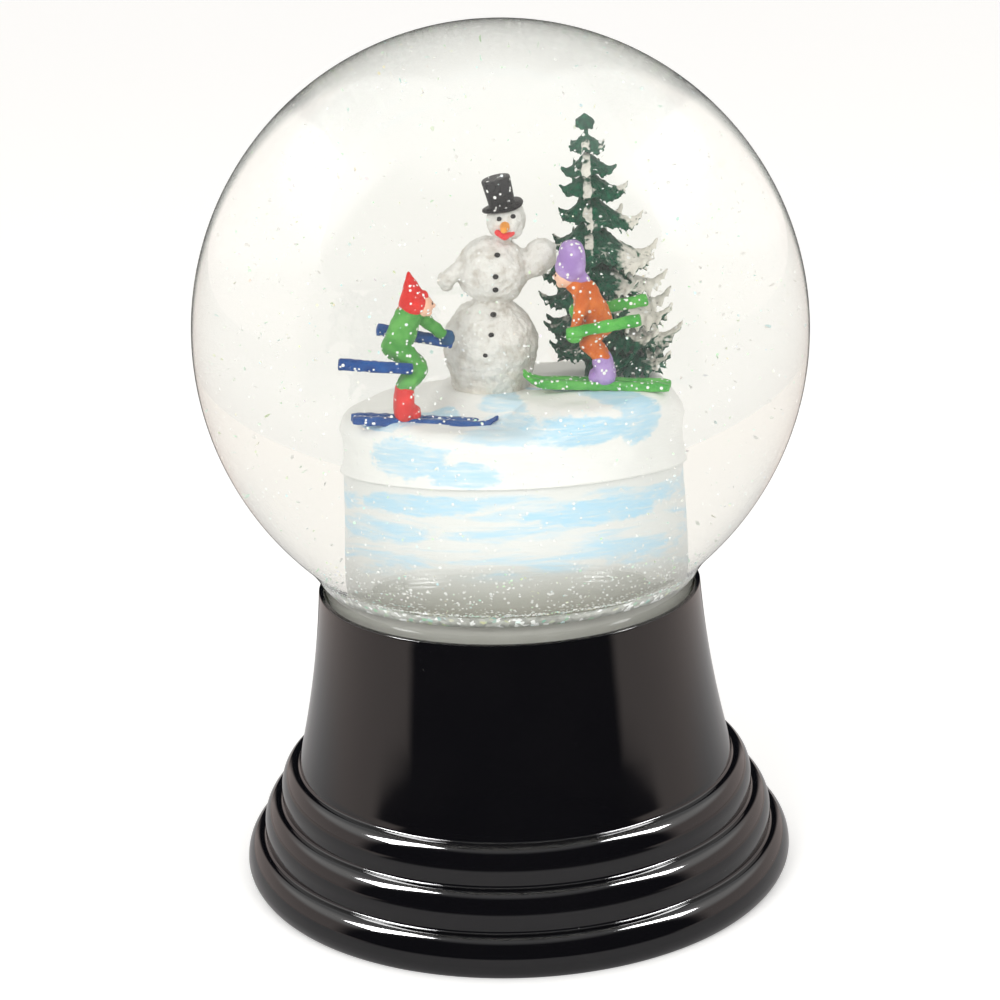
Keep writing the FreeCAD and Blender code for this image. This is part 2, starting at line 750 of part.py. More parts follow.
def make_flakes():
    """Thin round flakes in suspension, all further from the axis than the scene reaches."""
    radius, thick = float(size("flake_radius")), float(size("flake_thickness"))
    scene_reach = float(SCENE_X + size("pedestal_radius") + size("terrain_overhang"))
    inner = scene_reach + float(size("flake_clearance")) + radius
    outer = float(INNER_RADIUS) - float(size("flake_clearance"))
    centre = float(GLOBE_CENTRE)
    floor = float(STOPPER_TOP + size("snow_bed") + size("flake_clearance"))
    ceiling = centre + outer
    dice = random.Random(7)
    spots, solids = [], []
    while len(spots) < int(float(size("flake_count"))):
        turn, out = dice.uniform(0, 2 * math.pi), dice.uniform(inner, outer)
        spot = FreeCAD.Vector(out * math.cos(turn), out * math.sin(turn), dice.uniform(floor, ceiling))
        inside = math.hypot(out, spot.z - centre) < outer
        apart = all((spot - other).Length > 4 * radius for other in spots)
        if not (inside and apart):
            continue
        spots.append(spot)
        tilt = FreeCAD.Rotation(dice.uniform(0, 360), dice.uniform(0, 180), dice.uniform(0, 360))
        flake = Part.makeCylinder(radius, thick, FreeCAD.Vector(0, 0, -thick / 2))
        flake.Placement = FreeCAD.Placement(spot, tilt)
        solids.append(flake)
    flakes = DOC.addObject("Part::Feature", "drifting_snow")
    flakes.Shape = Part.makeCompound(solids)
    return flakes


# ---- assembly ----


# What stands in the ground, and leaves its own shape in it.
STANDING = (
    "snowman_body",
    "spruce_trunk",
    "spruce_branches",
    "red_cap_skier_skis",
    "purple_cap_skier_skis",
)


def make_nodes():
    nodes = {
        "base_shell": make_base_shell(),
        "bottom_cover": disc(
            "bottom_cover", COVER_RADIUS - size("cover_fit"), size("felt_thickness"), COVER_SEAT
        ),
        "felt_pad": disc("felt_pad", COVER_RADIUS - size("felt_margin"), 0.0, size("felt_thickness")),
        "glass_globe": make_glass_globe(),
        "neck_adhesive": make_neck_adhesive(),
        "rubber_stopper": make_rubber_stopper(),
    }
    pedestal = disc("pedestal", size("pedestal_radius"), STOPPER_TOP, PEDESTAL_TOP)
    place(pedestal, (SCENE_X, 0.0, 0.0))
    nodes["pedestal"] = pedestal
    figures = make_snowman()
    figures.update(make_tree(figures["snowman_body"]))
    figures.update(make_skier("red_cap_skier", RED_CAP_AT, 1.0, 4.5, 0.36, RED_CAP_POSE))
    figures.update(make_skier("purple_cap_skier", PURPLE_CAP_AT, -1.0, 3.6, 0.44, PURPLE_CAP_POSE))
    ground = make_ground()
    nodes["snow_terrain"] = cut("snow_terrain", ground, [figures[name] for name in STANDING])
    nodes.update(figures)
    inside = make_glass_inside("glass_inside")
    level = disc("snow_level", GLOBE_RADIUS, NECK_TOP, STOPPER_TOP + size("snow_bed"))
    bed = DOC.addObject("Part::Common", "snow_bed_whole")
    bed.Base = inside
    bed.Tool = level
    nodes["settled_snow"] = cut("settled_snow", bed, [pedestal, nodes["rubber_stopper"]])
    nodes["drifting_snow"] = make_flakes()
    dry = ["base_shell", "bottom_cover", "felt_pad", "glass_globe", "neck_adhesive"]
    wet = [thing for name, thing in nodes.items() if name not in dry]
    nodes["water_fill"] = cut("water_fill", make_glass_inside("glass_inside_for_water"), wet)
    return nodes


def check_and_write(nodes):
    DOC.recompute()
    faults = []
    for thing in DOC.Objects:
        if "Invalid" in thing.State or "Error" in thing.State:
            faults.append(f"{thing.Label}: {thing.State}")
    for name, thing in nodes.items():
        if thing.Shape.isNull() or not thing.Shape.isValid():
            faults.append(f"{name}: shape not valid")
    if faults:
        raise RuntimeError("; ".join(faults))
    os.makedirs("parts", exist_ok=True)
    for name, thing in nodes.items():
        thing.Label = name
        thing.Shape.exportStep(f"parts/{name}.step")
        print(f"{name:24s} {len(thing.Shape.Solids):3d} solids  {thing.Shape.Volume:12.3f} mm3")


check_and_write(make_nodes())
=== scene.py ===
"""Looks of the snow globe: glass, water, painted scene, loose snow and the black beaded base."""

import math
import random

import bmesh
import bpy
from mathutils import Matrix, Vector, noise


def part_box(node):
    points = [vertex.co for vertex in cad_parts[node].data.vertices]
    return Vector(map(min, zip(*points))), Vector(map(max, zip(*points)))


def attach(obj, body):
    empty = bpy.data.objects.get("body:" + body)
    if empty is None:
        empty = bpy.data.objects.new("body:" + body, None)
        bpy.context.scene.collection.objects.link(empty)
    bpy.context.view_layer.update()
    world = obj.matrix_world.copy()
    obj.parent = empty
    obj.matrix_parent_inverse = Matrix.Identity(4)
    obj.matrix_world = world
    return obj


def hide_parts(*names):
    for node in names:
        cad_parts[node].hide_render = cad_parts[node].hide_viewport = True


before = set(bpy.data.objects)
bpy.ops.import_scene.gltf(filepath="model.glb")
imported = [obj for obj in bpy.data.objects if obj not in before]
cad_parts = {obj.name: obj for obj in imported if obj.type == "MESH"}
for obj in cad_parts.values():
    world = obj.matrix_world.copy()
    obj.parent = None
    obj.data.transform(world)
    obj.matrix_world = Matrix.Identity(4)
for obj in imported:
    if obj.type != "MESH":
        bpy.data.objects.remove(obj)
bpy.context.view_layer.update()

MM = 0.001
BODY = "globe"
LOOSE = "loose_snow"


def box_mm(node):
    """Lowest and highest corner of a CAD node, in millimetres."""
    low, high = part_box(node)
    return low / MM, high / MM


# ---- sizes, in millimetres, from the frame ----
GLASS_LOW, GLASS_HIGH = box_mm("glass_globe")
GLOBE_RADIUS = (GLASS_HIGH.x - GLASS_LOW.x) / 2
GLOBE_CENTRE = GLASS_HIGH.z - GLOBE_RADIUS
GLASS_WALL = 1.8
NECK_BLEND = 12.0
NECK_RADIUS = box_mm("rubber_stopper")[1].x
NECK_TOP = box_mm("neck_adhesive")[1].z
NECK_BOTTOM = GLASS_LOW.z
BASE_HEIGHT = box_mm("base_shell")[1].z
STOPPER_TOP = box_mm("rubber_stopper")[1].z
PEDESTAL_LOW, PEDESTAL_HIGH = box_mm("pedestal")
PEDESTAL_RADIUS = (PEDESTAL_HIGH.x - PEDESTAL_LOW.x) / 2
SCENE_X = (PEDESTAL_HIGH.x + PEDESTAL_LOW.x) / 2
TERRAIN_LOW, TERRAIN_HIGH = box_mm("snow_terrain")
TERRAIN_RADIUS = (TERRAIN_HIGH.x - TERRAIN_LOW.x) / 2
LOW_GROUND = PEDESTAL_HIGH.z + 5.6
HIGH_GROUND = LOW_GROUND + 2.3
BED_TOP = box_mm("settled_snow")[1].z


# ---- mesh helpers: everything is drawn in millimetres and scaled once ----


def finish_piece(name, mesh, material, replaces=(), body=BODY, smooth=True):
    """Scales a mesh drawn in millimetres, makes it an object and ties it to the frame."""
    mesh.transform(Matrix.Scale(MM, 4))
    for polygon in mesh.polygons:
        polygon.use_smooth = smooth
    mesh.materials.clear()
    mesh.materials.append(material)
    piece = bpy.data.objects.new(name, mesh)
    bpy.context.scene.collection.objects.link(piece)
    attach(piece, body)
    if replaces:
        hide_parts(*replaces)
    return piece


def arc(centre, radius, start, end, steps):
    """Points along a circular arc, angles in degrees from +r towards +z."""
    points = []
    for i in range(steps + 1):
        angle = math.radians(start + (end - start) * i / steps)
        points.append((centre[0] + radius * math.cos(angle), centre[1] + radius * math.sin(angle)))
    return points


def around(count):
    """The angles of that many even steps round a circle."""
    return [2 * math.pi * i / count for i in range(count)]


def join_rings(built, rings, closed=False):
    """Faces from each ring of corners to the next; a ring of one corner is a point."""
    for ring, after in zip(rings, rings[1:] + (rings[:1] if closed else [])):
        count = max(len(ring), len(after))
        for i in range(count if count > 1 else 0):
            j = (i + 1) % count
            corners = [ring[i % len(ring)], ring[j % len(ring)]]
            corners += [after[j % len(after)], after[i % len(after)]]
            built.faces.new(list(dict.fromkeys(corners)))


def lathe(name, outline, segments=192, at=(0.0, 0.0)):
    """A closed mesh turned from a closed outline of (radius, height); points on the axis are shared."""
    built = bmesh.new()
    rings = []
    for radius, height in outline:
        turns = around(segments) if radius > 1e-5 else [0.0]
        spots = [(at[0] + radius * math.cos(t), at[1] + radius * math.sin(t), height) for t in turns]
        rings.append([built.verts.new(spot) for spot in spots])
    join_rings(built, rings, closed=True)
    return as_mesh(built, name)


def add_blob(built, at, radius, squash=(1.0, 1.0, 1.0), detail=24):
    """A ball, squashed along the axes."""
    made = bmesh.ops.create_uvsphere(built, u_segments=detail, v_segments=detail // 2, radius=radius)
    matrix = Matrix.Translation(at) @ Matrix.Diagonal((*squash, 1.0))
    bmesh.ops.transform(built, matrix=matrix, verts=made["verts"])


def add_bar(built, start, end, radius, end_radius, detail=20, dome=1.0):
    """A tapered bar with ends domed to a share of their radius."""
    start, end = Vector(start), Vector(end)
    way = end - start
    turn = way.to_track_quat("Z", "Y").to_matrix().to_4x4()
    caps = 5
    profile = []
    for i in range(caps + 1):
        angle = math.pi / 2 * (1 - i / caps)
        profile.append((radius * math.cos(angle), -radius * dome * math.sin(angle)))
    for i in range(caps + 1):
        angle = math.pi / 2 * i / caps
        profile.append((end_radius * math.cos(angle), way.length + end_radius * dome * math.sin(angle)))
    rings = []
    for reach, along in profile:
        spots = [(reach * math.cos(t), reach * math.sin(t), along) for t in around(detail)]
        if reach < 1e-4:
            spots = [(0, 0, along)]
        rings.append([built.verts.new(spot) for spot in spots])
    join_rings(built, rings)
    moved = [v for ring in rings for v in ring]
    bmesh.ops.transform(built, matrix=Matrix.Translation(start) @ turn, verts=moved)


def as_mesh(built, name):
    """Ends a bmesh: outward faces, and a mesh datablock of that name."""
    bmesh.ops.recalc_face_normals(built, faces=built.faces)
    mesh = bpy.data.meshes.new(name)
    built.to_mesh(mesh)
    built.free()
    return mesh


def modelled(mesh, voxel, smooth=4, bumps=()):
    """Melts a mesh of overlapping blobs into one skin, as hand-modelled resin, with low bumps of
    (height, size) on it."""
    thing = bpy.data.objects.new(mesh.name, mesh)
    bpy.context.scene.collection.objects.link(thing)
    remesh = thing.modifiers.new("melt", "REMESH")
    remesh.mode = "VOXEL"
    remesh.voxel_size = voxel
    softer = thing.modifiers.new("soften", "SMOOTH")
    softer.iterations = smooth
    softer.factor = 0.5
    bpy.context.view_layer.update()
    graph = bpy.context.evaluated_depsgraph_get()
    result = bpy.data.meshes.new_from_object(thing.evaluated_get(graph))
    bpy.data.objects.remove(thing)
    for height, scale in bumps:
        offsets = [v.normal * (height * noise.noise(v.co / scale)) for v in result.vertices]
        for vertex, offset in zip(result.vertices, offsets):
            vertex.co += offset
    result.name = mesh.name + "_modelled"
    return result


# ---- materials ----


class Shader:
    """A material built node by node: feed a socket, a number or a colour to each input."""

    def __init__(self, name, world=False):
        self.made = (bpy.data.worlds if world else bpy.data.materials).new(name)
        self.made.use_nodes = True
        self.tree = self.made.node_tree
        self.tree.nodes.clear()
        self.place = self.node("TexCoord").outputs["Generated" if world else "Object"]

    def node(self, kind, inputs=None, **settings):
        """A new node with its settings; inputs holds sockets to link and plain values."""
        made = self.tree.nodes.new("ShaderNode" + kind)
        for key, value in settings.items():
            setattr(made, key, value)
        for key, value in (inputs or {}).items():
            if isinstance(value, bpy.types.NodeSocket):
                self.tree.links.new(value, made.inputs[key])
            else:
                made.inputs[key].default_value = value
        return made

    def math(self, operation, a, b=0.0, clamp=False):
        return self.node("Math", {0: a, 1: b}, operation=operation, use_clamp=clamp).outputs[0]

    def times(self, a, b, clamp=False):
        return self.math("MULTIPLY", a, b, clamp)

    def plus(self, a, b):
        return self.math("ADD", a, b)

    def minus(self, a, b):
        return self.math("SUBTRACT", a, b)

    def over(self, a, b):
        return self.math("DIVIDE", a, b)

    def most(self, a, b):
        return self.math("MAXIMUM", a, b)

    def length(self, a, b):
        return self.math("SQRT", self.plus(self.times(a, a), self.times(b, b)))

    def axes(self, vector=None):
        """The three parts of a vector: of the place, unless another is given."""
        return self.node("SeparateXYZ", {"Vector": self.place if vector is None else vector}).outputs

    def noise(self, size, detail=3.0, roughness=0.55, stretch=None, distortion=0.0):
        """Fractal noise whose features are about size millimetres wide."""
        place = self.place
        if stretch is not None:
            place = self.node("Mapping", {"Vector": place, "Scale": stretch}).outputs[0]
        inputs = {"Vector": place, "Scale": 1.0 / (size * MM), "Detail": detail}
        inputs.update({"Roughness": roughness, "Distortion": distortion})
        return self.node("TexNoise", inputs).outputs["Fac"]

    def cells(self, size):
        """A pattern of cells about size millimetres wide, and three random shares of each cell."""
        made = self.node("TexVoronoi", {"Vector": self.place, "Scale": 1.0 / (size * MM)})
        return made, self.node("SeparateColor", {"Color": made.outputs["Color"]}).outputs

    def step(self, value, low, high):
        """A soft step: 0 below low and 1 above high."""
        inputs = {"Value": value, "From Min": low, "From Max": high}
        return self.node("MapRange", inputs, interpolation_type="SMOOTHSTEP").outputs[0]

    def between(self, share, low, high):
        """The number that share of the way from low to high."""
        return self.node("MapRange", {"Value": share, "To Min": low, "To Max": high}).outputs[0]

    def mix(self, share, a, b):
        """The colour that share of the way from a to b."""
        made = self.node("Mix", data_type="RGBA")
        for key, value in ((0, share), (6, a), (7, b)):
            if isinstance(value, bpy.types.NodeSocket):
                self.tree.links.new(value, made.inputs[key])
            else:
                made.inputs[key].default_value = value if key == 0 else (*value, 1.0)
        return made.outputs[2]

    def specks(self, size, share, fill=0.28):
        """Small round specks: 1 inside a speck. share is how many cells of that size hold one."""
        cells, chosen = self.cells(size)
        near = self.step(cells.outputs["Distance"], fill, fill * 0.75)
        return self.times(near, self.math("GREATER_THAN", chosen[0], 1.0 - share))

    def bump(self, height, depth):
        """Bump of that height pattern, depth in millimetres."""
        inputs = {"Height": height, "Strength": 1.0, "Distance": depth * MM}
        return self.node("Bump", inputs).outputs[0]

    def principled(self, colour, roughness, normal, more=None):
        """The finished material; more holds any other inputs."""
        inputs = {"Base Color": colour, "Roughness": roughness, "Normal": normal, **(more or {})}
        return self.done(self.node("BsdfPrincipled", inputs).outputs[0])

    def done(self, surface, volume=None, output="OutputMaterial"):
        end = self.node(output)
        self.tree.links.new(surface, end.inputs["Surface"])
        if volume is not None:
            self.tree.links.new(volume, end.inputs["Volume"])
        return self.made


SNOW_SPECK = (0.93, 0.93, 0.92)
# Under water, paint and film reflect much less than they do in air.
WET = {"Specular IOR Level": 0.12}
WET_FILM = {"Specular IOR Level": 0.3}


def brushed_paint(name, light, dark, specks=0.42):
    """Hand-painted resin: uneven coverage, brush marks, white flecks of snow caught on it."""
    s = Shader(name)
    cloud = s.noise(1.6, 4.0, 0.6)
    streak = s.noise(0.55, 3.0, 0.6, stretch=(1.0, 1.0, 0.35))
    colour = s.mix(s.step(cloud, 0.35, 0.7), light, dark)
    colour = s.mix(s.times(s.step(streak, 0.55, 0.75), 0.35), colour, light)
    fleck = s.most(s.specks(0.7, specks), s.specks(0.5, specks * 0.6, 0.32))
    colour = s.mix(fleck, colour, SNOW_SPECK)
    height = s.plus(s.times(streak, 0.5), s.times(fleck, 0.6))
    return s.principled(colour, s.between(cloud, 0.28, 0.50), s.bump(height, 0.08), WET)


def clear_material(name, ior, tint, absorb=None):
    """Glass or water that lets lamps through, so that what is inside is lit; absorb is the colour and
    the density of what it takes away."""
    s = Shader(name)
    glass = s.node("BsdfGlass", {"Color": (*tint, 1.0), "Roughness": 0.0, "IOR": ior}).outputs[0]
    through = s.node("BsdfTransparent", {"Color": (*tint, 1.0)}).outputs[0]
    path = s.node("LightPath").outputs
    open_to = s.most(path["Is Shadow Ray"], path["Is Diffuse Ray"])
    mixed = s.node("MixShader", {0: open_to, 1: glass, 2: through}).outputs[0]
    volume = None
    if absorb:
        colour, density = absorb
        inputs = {"Color": (*colour, 1.0), "Density": density}
        volume = s.node("VolumeAbsorption", inputs).outputs[0]
    return s.done(mixed, volume)


def black_gloss():
    """Injection-moulded black plastic, polished, with faint haze and fine dust."""
    s = Shader("black_gloss_plastic")
    haze = s.noise(9.0, 4.0, 0.6)
    scuff = s.noise(0.9, 5.0, 0.7, stretch=(1.0, 1.0, 4.0))
    dust = s.specks(1.4, 0.05, 0.06)
    colour = s.mix(haze, (0.0022, 0.0022, 0.0030), (0.0042, 0.0040, 0.0048))
    colour = s.mix(s.times(dust, 0.35), colour, (0.20, 0.19, 0.18))
    rough = s.plus(s.between(scuff, 0.04, 0.09), s.times(dust, 0.3))
    return s.principled(colour, rough, s.bump(s.noise(14.0, 2.0), 0.03))


def felt_material():
    """Black felt: a fuzz of fibres."""
    s = Shader("black_felt")
    fibre = s.noise(0.35, 6.0, 0.75)
    patch = s.noise(4.0, 3.0)
    colour = s.mix(fibre, (0.012, 0.012, 0.014), (0.06, 0.06, 0.065))
    colour = s.mix(s.times(patch, 0.3), colour, (0.035, 0.035, 0.04))
    sheen = {"Sheen Weight": 0.6, "Sheen Roughness": 0.5}
    return s.principled(colour, 0.95, s.bump(fibre, 0.25), sheen)


def board_material():
    """Dark pressed board."""
    s = Shader("pressed_board")
    grain = s.noise(0.6, 5.0, 0.7)
    colour = s.mix(grain, (0.03, 0.028, 0.026), (0.075, 0.07, 0.066))
    return s.principled(colour, 0.8, s.bump(grain, 0.12))


def rubber_material():
    """Pale rubber with a little bloom, greyed by painted shade inside the neck."""
    s = Shader("pale_rubber")
    bloom = s.noise(3.0, 4.0)
    # Painted shade: the rubber is greyer than its own pale tone, for the shade in the neck.
    colour = s.mix(bloom, (0.46, 0.45, 0.405), (0.58, 0.57, 0.525))
    return s.principled(colour, 0.62, s.bump(s.noise(0.3, 3.0), 0.04))


def glue_material():
    """Clouded, slightly translucent glue."""
    s = Shader("neck_glue")
    cloud = s.noise(2.0, 4.0)
    colour = s.mix(cloud, (0.34, 0.33, 0.27), (0.46, 0.45, 0.38))
    glow = {"Subsurface Weight": 0.2, "Subsurface Radius": (0.001, 0.0008, 0.0005)}
    return s.principled(colour, 0.35, s.bump(cloud, 0.3), glow)


PAINT_WHITE = (0.86, 0.86, 0.84)
PEDESTAL_WHITE = (0.75, 0.76, 0.745)
PAINT_GREY = (0.79, 0.795, 0.79)
# Painted shade for the pedestal's foot, under the base rim and in the neck.
PEDESTAL_SHADE_GREY = (0.40, 0.39, 0.345)
PAINT_BLUE = (0.40, 0.68, 0.86)


def blue_strokes(s, strokes, along, height):
    """How much blue the brush strokes leave at a place."""
    ragged = s.noise(3.2, 5.0, 0.7, stretch=(1.0, 1.0, 2.4))
    ragged = s.times(s.minus(ragged, 0.5), 2.6)
    blue = 0.0
    for azimuth, level, half_width, half_height, strength in strokes:
        dx = s.over(s.minus(along, math.radians(azimuth) * PEDESTAL_RADIUS), half_width)
        dz = s.over(s.minus(height, level), half_height)
        far = s.plus(s.plus(s.times(dx, dx), s.times(dz, dz)), ragged)
        blue = s.most(blue, s.times(s.step(far, 1.15, 0.55), strength))
    return blue


def snow_paint(name, strokes, specks, stripe=None):
    """White ground paint with light-blue brush strokes.

    Each stroke is (azimuth from the front in degrees, height, half width, half height, strength),
    in millimetres along the surface; stripe is (low, high) for a band of broken horizontal strokes,
    with a speckled foot below it that painted shade greys.
    """
    s = Shader(name)
    x, y, z = s.axes()
    turn = s.math("ARCTAN2", s.minus(x, SCENE_X * MM), s.times(y, -1.0))
    height = s.over(z, MM)
    bristle = s.noise(0.9, 4.0, 0.65, stretch=(0.3, 0.3, 2.6))
    grey = s.times(s.step(s.noise(6.0, 3.0), 0.35, 0.75), 0.5)
    white = s.mix(grey, PAINT_WHITE if stripe is None else PEDESTAL_WHITE, PAINT_GREY)
    blue = blue_strokes(s, strokes, s.times(turn, PEDESTAL_RADIUS), height)
    fleck = s.specks(0.7, specks)
    if stripe is not None:
        low, high = stripe
        band = s.times(s.step(height, low, low + 2.5), s.step(height, high, high - 0.8))
        streaks = s.noise(7.0, 5.0, 0.65, stretch=(0.45, 0.45, 3.4), distortion=0.6)
        blue = s.most(blue, s.times(s.times(band, s.step(streaks, 0.44, 0.62)), 0.75))
        # Painted shade: the pedestal greys towards its foot, where the base rim and the neck keep the
        # light off.
        white = s.mix(s.step(height, low + 5.0, low - 5.0), white, PEDESTAL_SHADE_GREY)
        foot = s.step(height, low + 3.0, low)
        fleck = s.most(fleck, s.times(s.specks(0.62, 0.5, 0.3), foot))
    colour = s.mix(s.times(blue, s.step(bristle, 0.12, 0.62), clamp=True), white, PAINT_BLUE)
    colour = s.mix(s.times(fleck, 0.8), colour, SNOW_SPECK)
    relief = s.plus(s.times(bristle, 0.6), s.times(fleck, 0.4))
    return s.principled(colour, 0.42, s.bump(relief, 0.12), WET)


def flake_material(name):
    """Mica-like flakes: mostly white, a few pearly pink, blue or gold."""
    s = Shader(name)
    cells, pick = s.cells(1.1)
    share = s.times(s.math("GREATER_THAN", pick[1], 0.6), 0.35)
    colour = s.mix(share, (0.90, 0.90, 0.89), cells.outputs["Color"])
    return s.principled(colour, 0.28, s.bump(s.noise(0.2, 2.0), 0.02), WET_FILM)


def settled_material():
    """A heap of flakes seen as one surface: grey for painted shade inside the neck, with bright and a
    few pearly ones.
    """
    s = Shader("settled_flakes")
    cells, part = s.cells(0.55)
    bright, pearly = (s.math("GREATER_THAN", part[k], 0.86) for k in (2, 1))
    # Painted shade: the grey base tone stands in for the shade in the neck.
    colour = s.mix(part[0], (0.34, 0.34, 0.31), (0.55, 0.55, 0.51))
    colour = s.mix(bright, colour, (0.90, 0.90, 0.88))
    colour = s.mix(s.times(pearly, 0.25), colour, cells.outputs["Color"])
    return s.principled(colour, 0.4, s.bump(part[2], 0.18), WET_FILM)


# ---- glass and water ----


def wall_outline(radius, blend, neck, drop, steps=96):
    """The ball, its blend into the neck, and the neck down to a height, from the top pole."""
    reach_x = NECK_RADIUS + NECK_BLEND
    reach = GLOBE_RADIUS + NECK_BLEND
    lean = math.degrees(math.acos(reach_x / reach))
    points = arc((0.0, GLOBE_CENTRE), radius, 90.0, -lean, steps)
    points += arc((reach_x, NECK_TOP), blend, 180.0 - lean, 180.0, 16)[1:]
    points.append((neck, drop))
    return points


def make_glass():
    """Ball and neck in one wall, with a rounded lip below."""
    outer = wall_outline(GLOBE_RADIUS, NECK_BLEND, NECK_RADIUS, NECK_BOTTOM + 0.6)
    lip = arc((NECK_RADIUS - GLASS_WALL / 2, NECK_BOTTOM + 0.9), GLASS_WALL / 2, 0.0, -180.0, 8)[1:-1]
    radii = (GLOBE_RADIUS - GLASS_WALL, NECK_BLEND + GLASS_WALL, NECK_RADIUS - GLASS_WALL)
    inner = wall_outline(*radii, NECK_BOTTOM + 0.6)
    mesh = lathe("glass_ball", outer + lip + inner[::-1], segments=256)
    glass = clear_material("clear_blown_glass", 1.5, (0.985, 0.992, 0.99))
    return finish_piece("glass_ball", mesh, glass, ["glass_globe"])


def make_water():
    """The filling runs a little into the glass, so that no air film shows between them."""
    into = 0.5
    side = wall_outline(
        GLOBE_RADIUS - GLASS_WALL + into,
        NECK_BLEND + GLASS_WALL - into,
        NECK_RADIUS - GLASS_WALL + into,
        NECK_TOP - 1.0,
    )
    mesh = lathe("water_filling", side + [(0.0, NECK_TOP - 1.0)], segments=256)
    water = clear_material("water", 1.333, (1.0, 1.0, 1.0), absorb=((0.90, 0.825, 0.70), 4.0))
    return finish_piece("water_filling", mesh, water, ["water_fill"])


# ---- base ----

EDGE = 0.18
RIM_GAP = 0.25
RIM_WALL = 0.75
WAIST_FLARE = 4.1
WAIST_CURVE = 140.0
BEAD_TOP = 15.0
BEAD_PITCH = 4.9
BEAD_STEP = 2.6
BEAD_COVE = 0.35
BEAD_FALL = 3.3
FOOT_TUCK = 0.9
FOOT_RISE = 2.0
FOOT_WALL = 1.6
COVER_STEP = 1.2
COVER_SEAT = 2.6
RIBS = 6
RIB_HALF = 0.8
POCKET = box_mm("neck_adhesive")[1].x
LEDGE_REACH = 5.0
LEDGE_TOP = NECK_BOTTOM - 2.0
LEDGE_LOW = NECK_BOTTOM - 4.4


def bowed(start, end, radius, steps):
    """An arc from start to end that bows towards the axis, its centre outside."""
    ax, az = start
    bx, bz = end
    half = math.hypot(bx - ax, bz - az) / 2
    nx, nz = (az - bz) / (2 * half), (bx - ax) / (2 * half)
    sag = math.sqrt(radius * radius - half * half)
    cx, cz = (ax + bx) / 2 + nx * sag, (az + bz) / 2 + nz * sag
    first = math.degrees(math.atan2(az - cz, ax - cx))
    last = math.degrees(math.atan2(bz - cz, bx - cx))
    if last - first > 180:
        last -= 360
    if last - first < -180:
        last += 360
    return arc((cx, cz), radius, first, last, steps)


def make_base():
    """The casing, turned about the axis, with six ribs under its ledge."""
    blend_x = NECK_RADIUS + NECK_BLEND
    set_down = BASE_HEIGHT - NECK_TOP
    rim_inner = blend_x - math.sqrt(NECK_BLEND**2 - set_down**2) + RIM_GAP
    rim_outer = rim_inner + RIM_WALL
    waist_foot = rim_outer + WAIST_FLARE
    rounding = BEAD_STEP - BEAD_COVE
    outline = arc((rim_outer - EDGE, BASE_HEIGHT - EDGE), EDGE, 90.0, 0.0, 5)
    waist = (rim_outer, BASE_HEIGHT - EDGE), (waist_foot, BEAD_TOP + BEAD_COVE)
    outline += bowed(*waist, WAIST_CURVE, 28)[1:]
    for bead in range(3):
        top = BEAD_TOP - BEAD_PITCH * bead
        inner = waist_foot + BEAD_STEP * bead
        if bead:
            outline.append((inner, top + BEAD_COVE))
        outline += arc((inner + BEAD_COVE, top + BEAD_COVE), BEAD_COVE, 180.0, 270.0, 6)[1:]
        for x, z in arc((0.0, 0.0), 1.0, 90.0, 0.0, 22)[1:]:
            outline.append((inner + BEAD_COVE + rounding * x, top - BEAD_FALL * (1 - z)))
    foot = waist_foot + 3 * BEAD_STEP
    curve = (FOOT_TUCK**2 + FOOT_RISE**2) / (2 * FOOT_TUCK)
    sweep = math.degrees(math.asin(FOOT_RISE / curve))
    outline += arc((foot - curve, FOOT_RISE), curve, 0.0, -sweep, 8)
    cover = foot - FOOT_TUCK - FOOT_WALL
    outline += [
        (cover, 0.0),
        (cover, COVER_SEAT),
        (cover - COVER_STEP, COVER_SEAT),
        (waist_foot - 2.0, BEAD_TOP),
        (POCKET + 0.5, LEDGE_LOW),
        (POCKET - LEDGE_REACH, LEDGE_LOW),
        (POCKET - LEDGE_REACH, LEDGE_TOP),
        (POCKET, LEDGE_TOP),
        (POCKET, NECK_TOP),
        (rim_inner, BASE_HEIGHT - EDGE),
    ]
    outline += arc((rim_inner + EDGE, BASE_HEIGHT - EDGE), EDGE, 180.0, 90.0, 4)[1:]
    mesh = lathe("beaded_base", outline, segments=256)
    built = bmesh.new()
    built.from_mesh(mesh)
    rib_top = LEDGE_LOW + 0.3
    rib = [(POCKET - 4.5, rib_top), (waist_foot - 1.2, BEAD_TOP), (POCKET + 1.2, rib_top)]
    for turn in around(RIBS):
        spin = Matrix.Rotation(turn, 4, "Z")
        near, far = (
            [built.verts.new(spin @ Vector((x, y, z))) for x, z in rib] for y in (-RIB_HALF, RIB_HALF)
        )
        built.faces.new(near)
        built.faces.new(far[::-1])
        for k in range(3):
            j = (k + 1) % 3
            built.faces.new([near[k], far[k], far[j], near[j]])
    built.to_mesh(mesh)
    built.free()
    piece = finish_piece("beaded_base", mesh, black_gloss(), ["base_shell"])
    piece.data.set_sharp_from_angle(angle=math.radians(50))
    return piece


def make_felt():
    """A die-cut felt disc with a slightly ragged rim."""
    low, high = box_mm("felt_pad")
    steps, segments = 14, 160
    built = bmesh.new()
    layers = []
    for level in (low.z, high.z):
        rings = []
        for r in range(1, steps + 1):
            ring = []
            for t in around(segments):
                reach = high.x * r / steps
                if r == steps:
                    reach -= 0.12 + 0.12 * noise.noise((math.cos(t) * 20, math.sin(t) * 20, level))
                ring.append(built.verts.new((reach * math.cos(t), reach * math.sin(t), level)))
            rings.append(ring)
        layers.append([[built.verts.new((0, 0, level))]] + rings)
    below, above = layers
    join_rings(built, below + above[::-1])
    mesh = as_mesh(built, "felt_base_pad")
    finish_piece("felt_base_pad", mesh, felt_material(), ["felt_pad"], smooth=False)


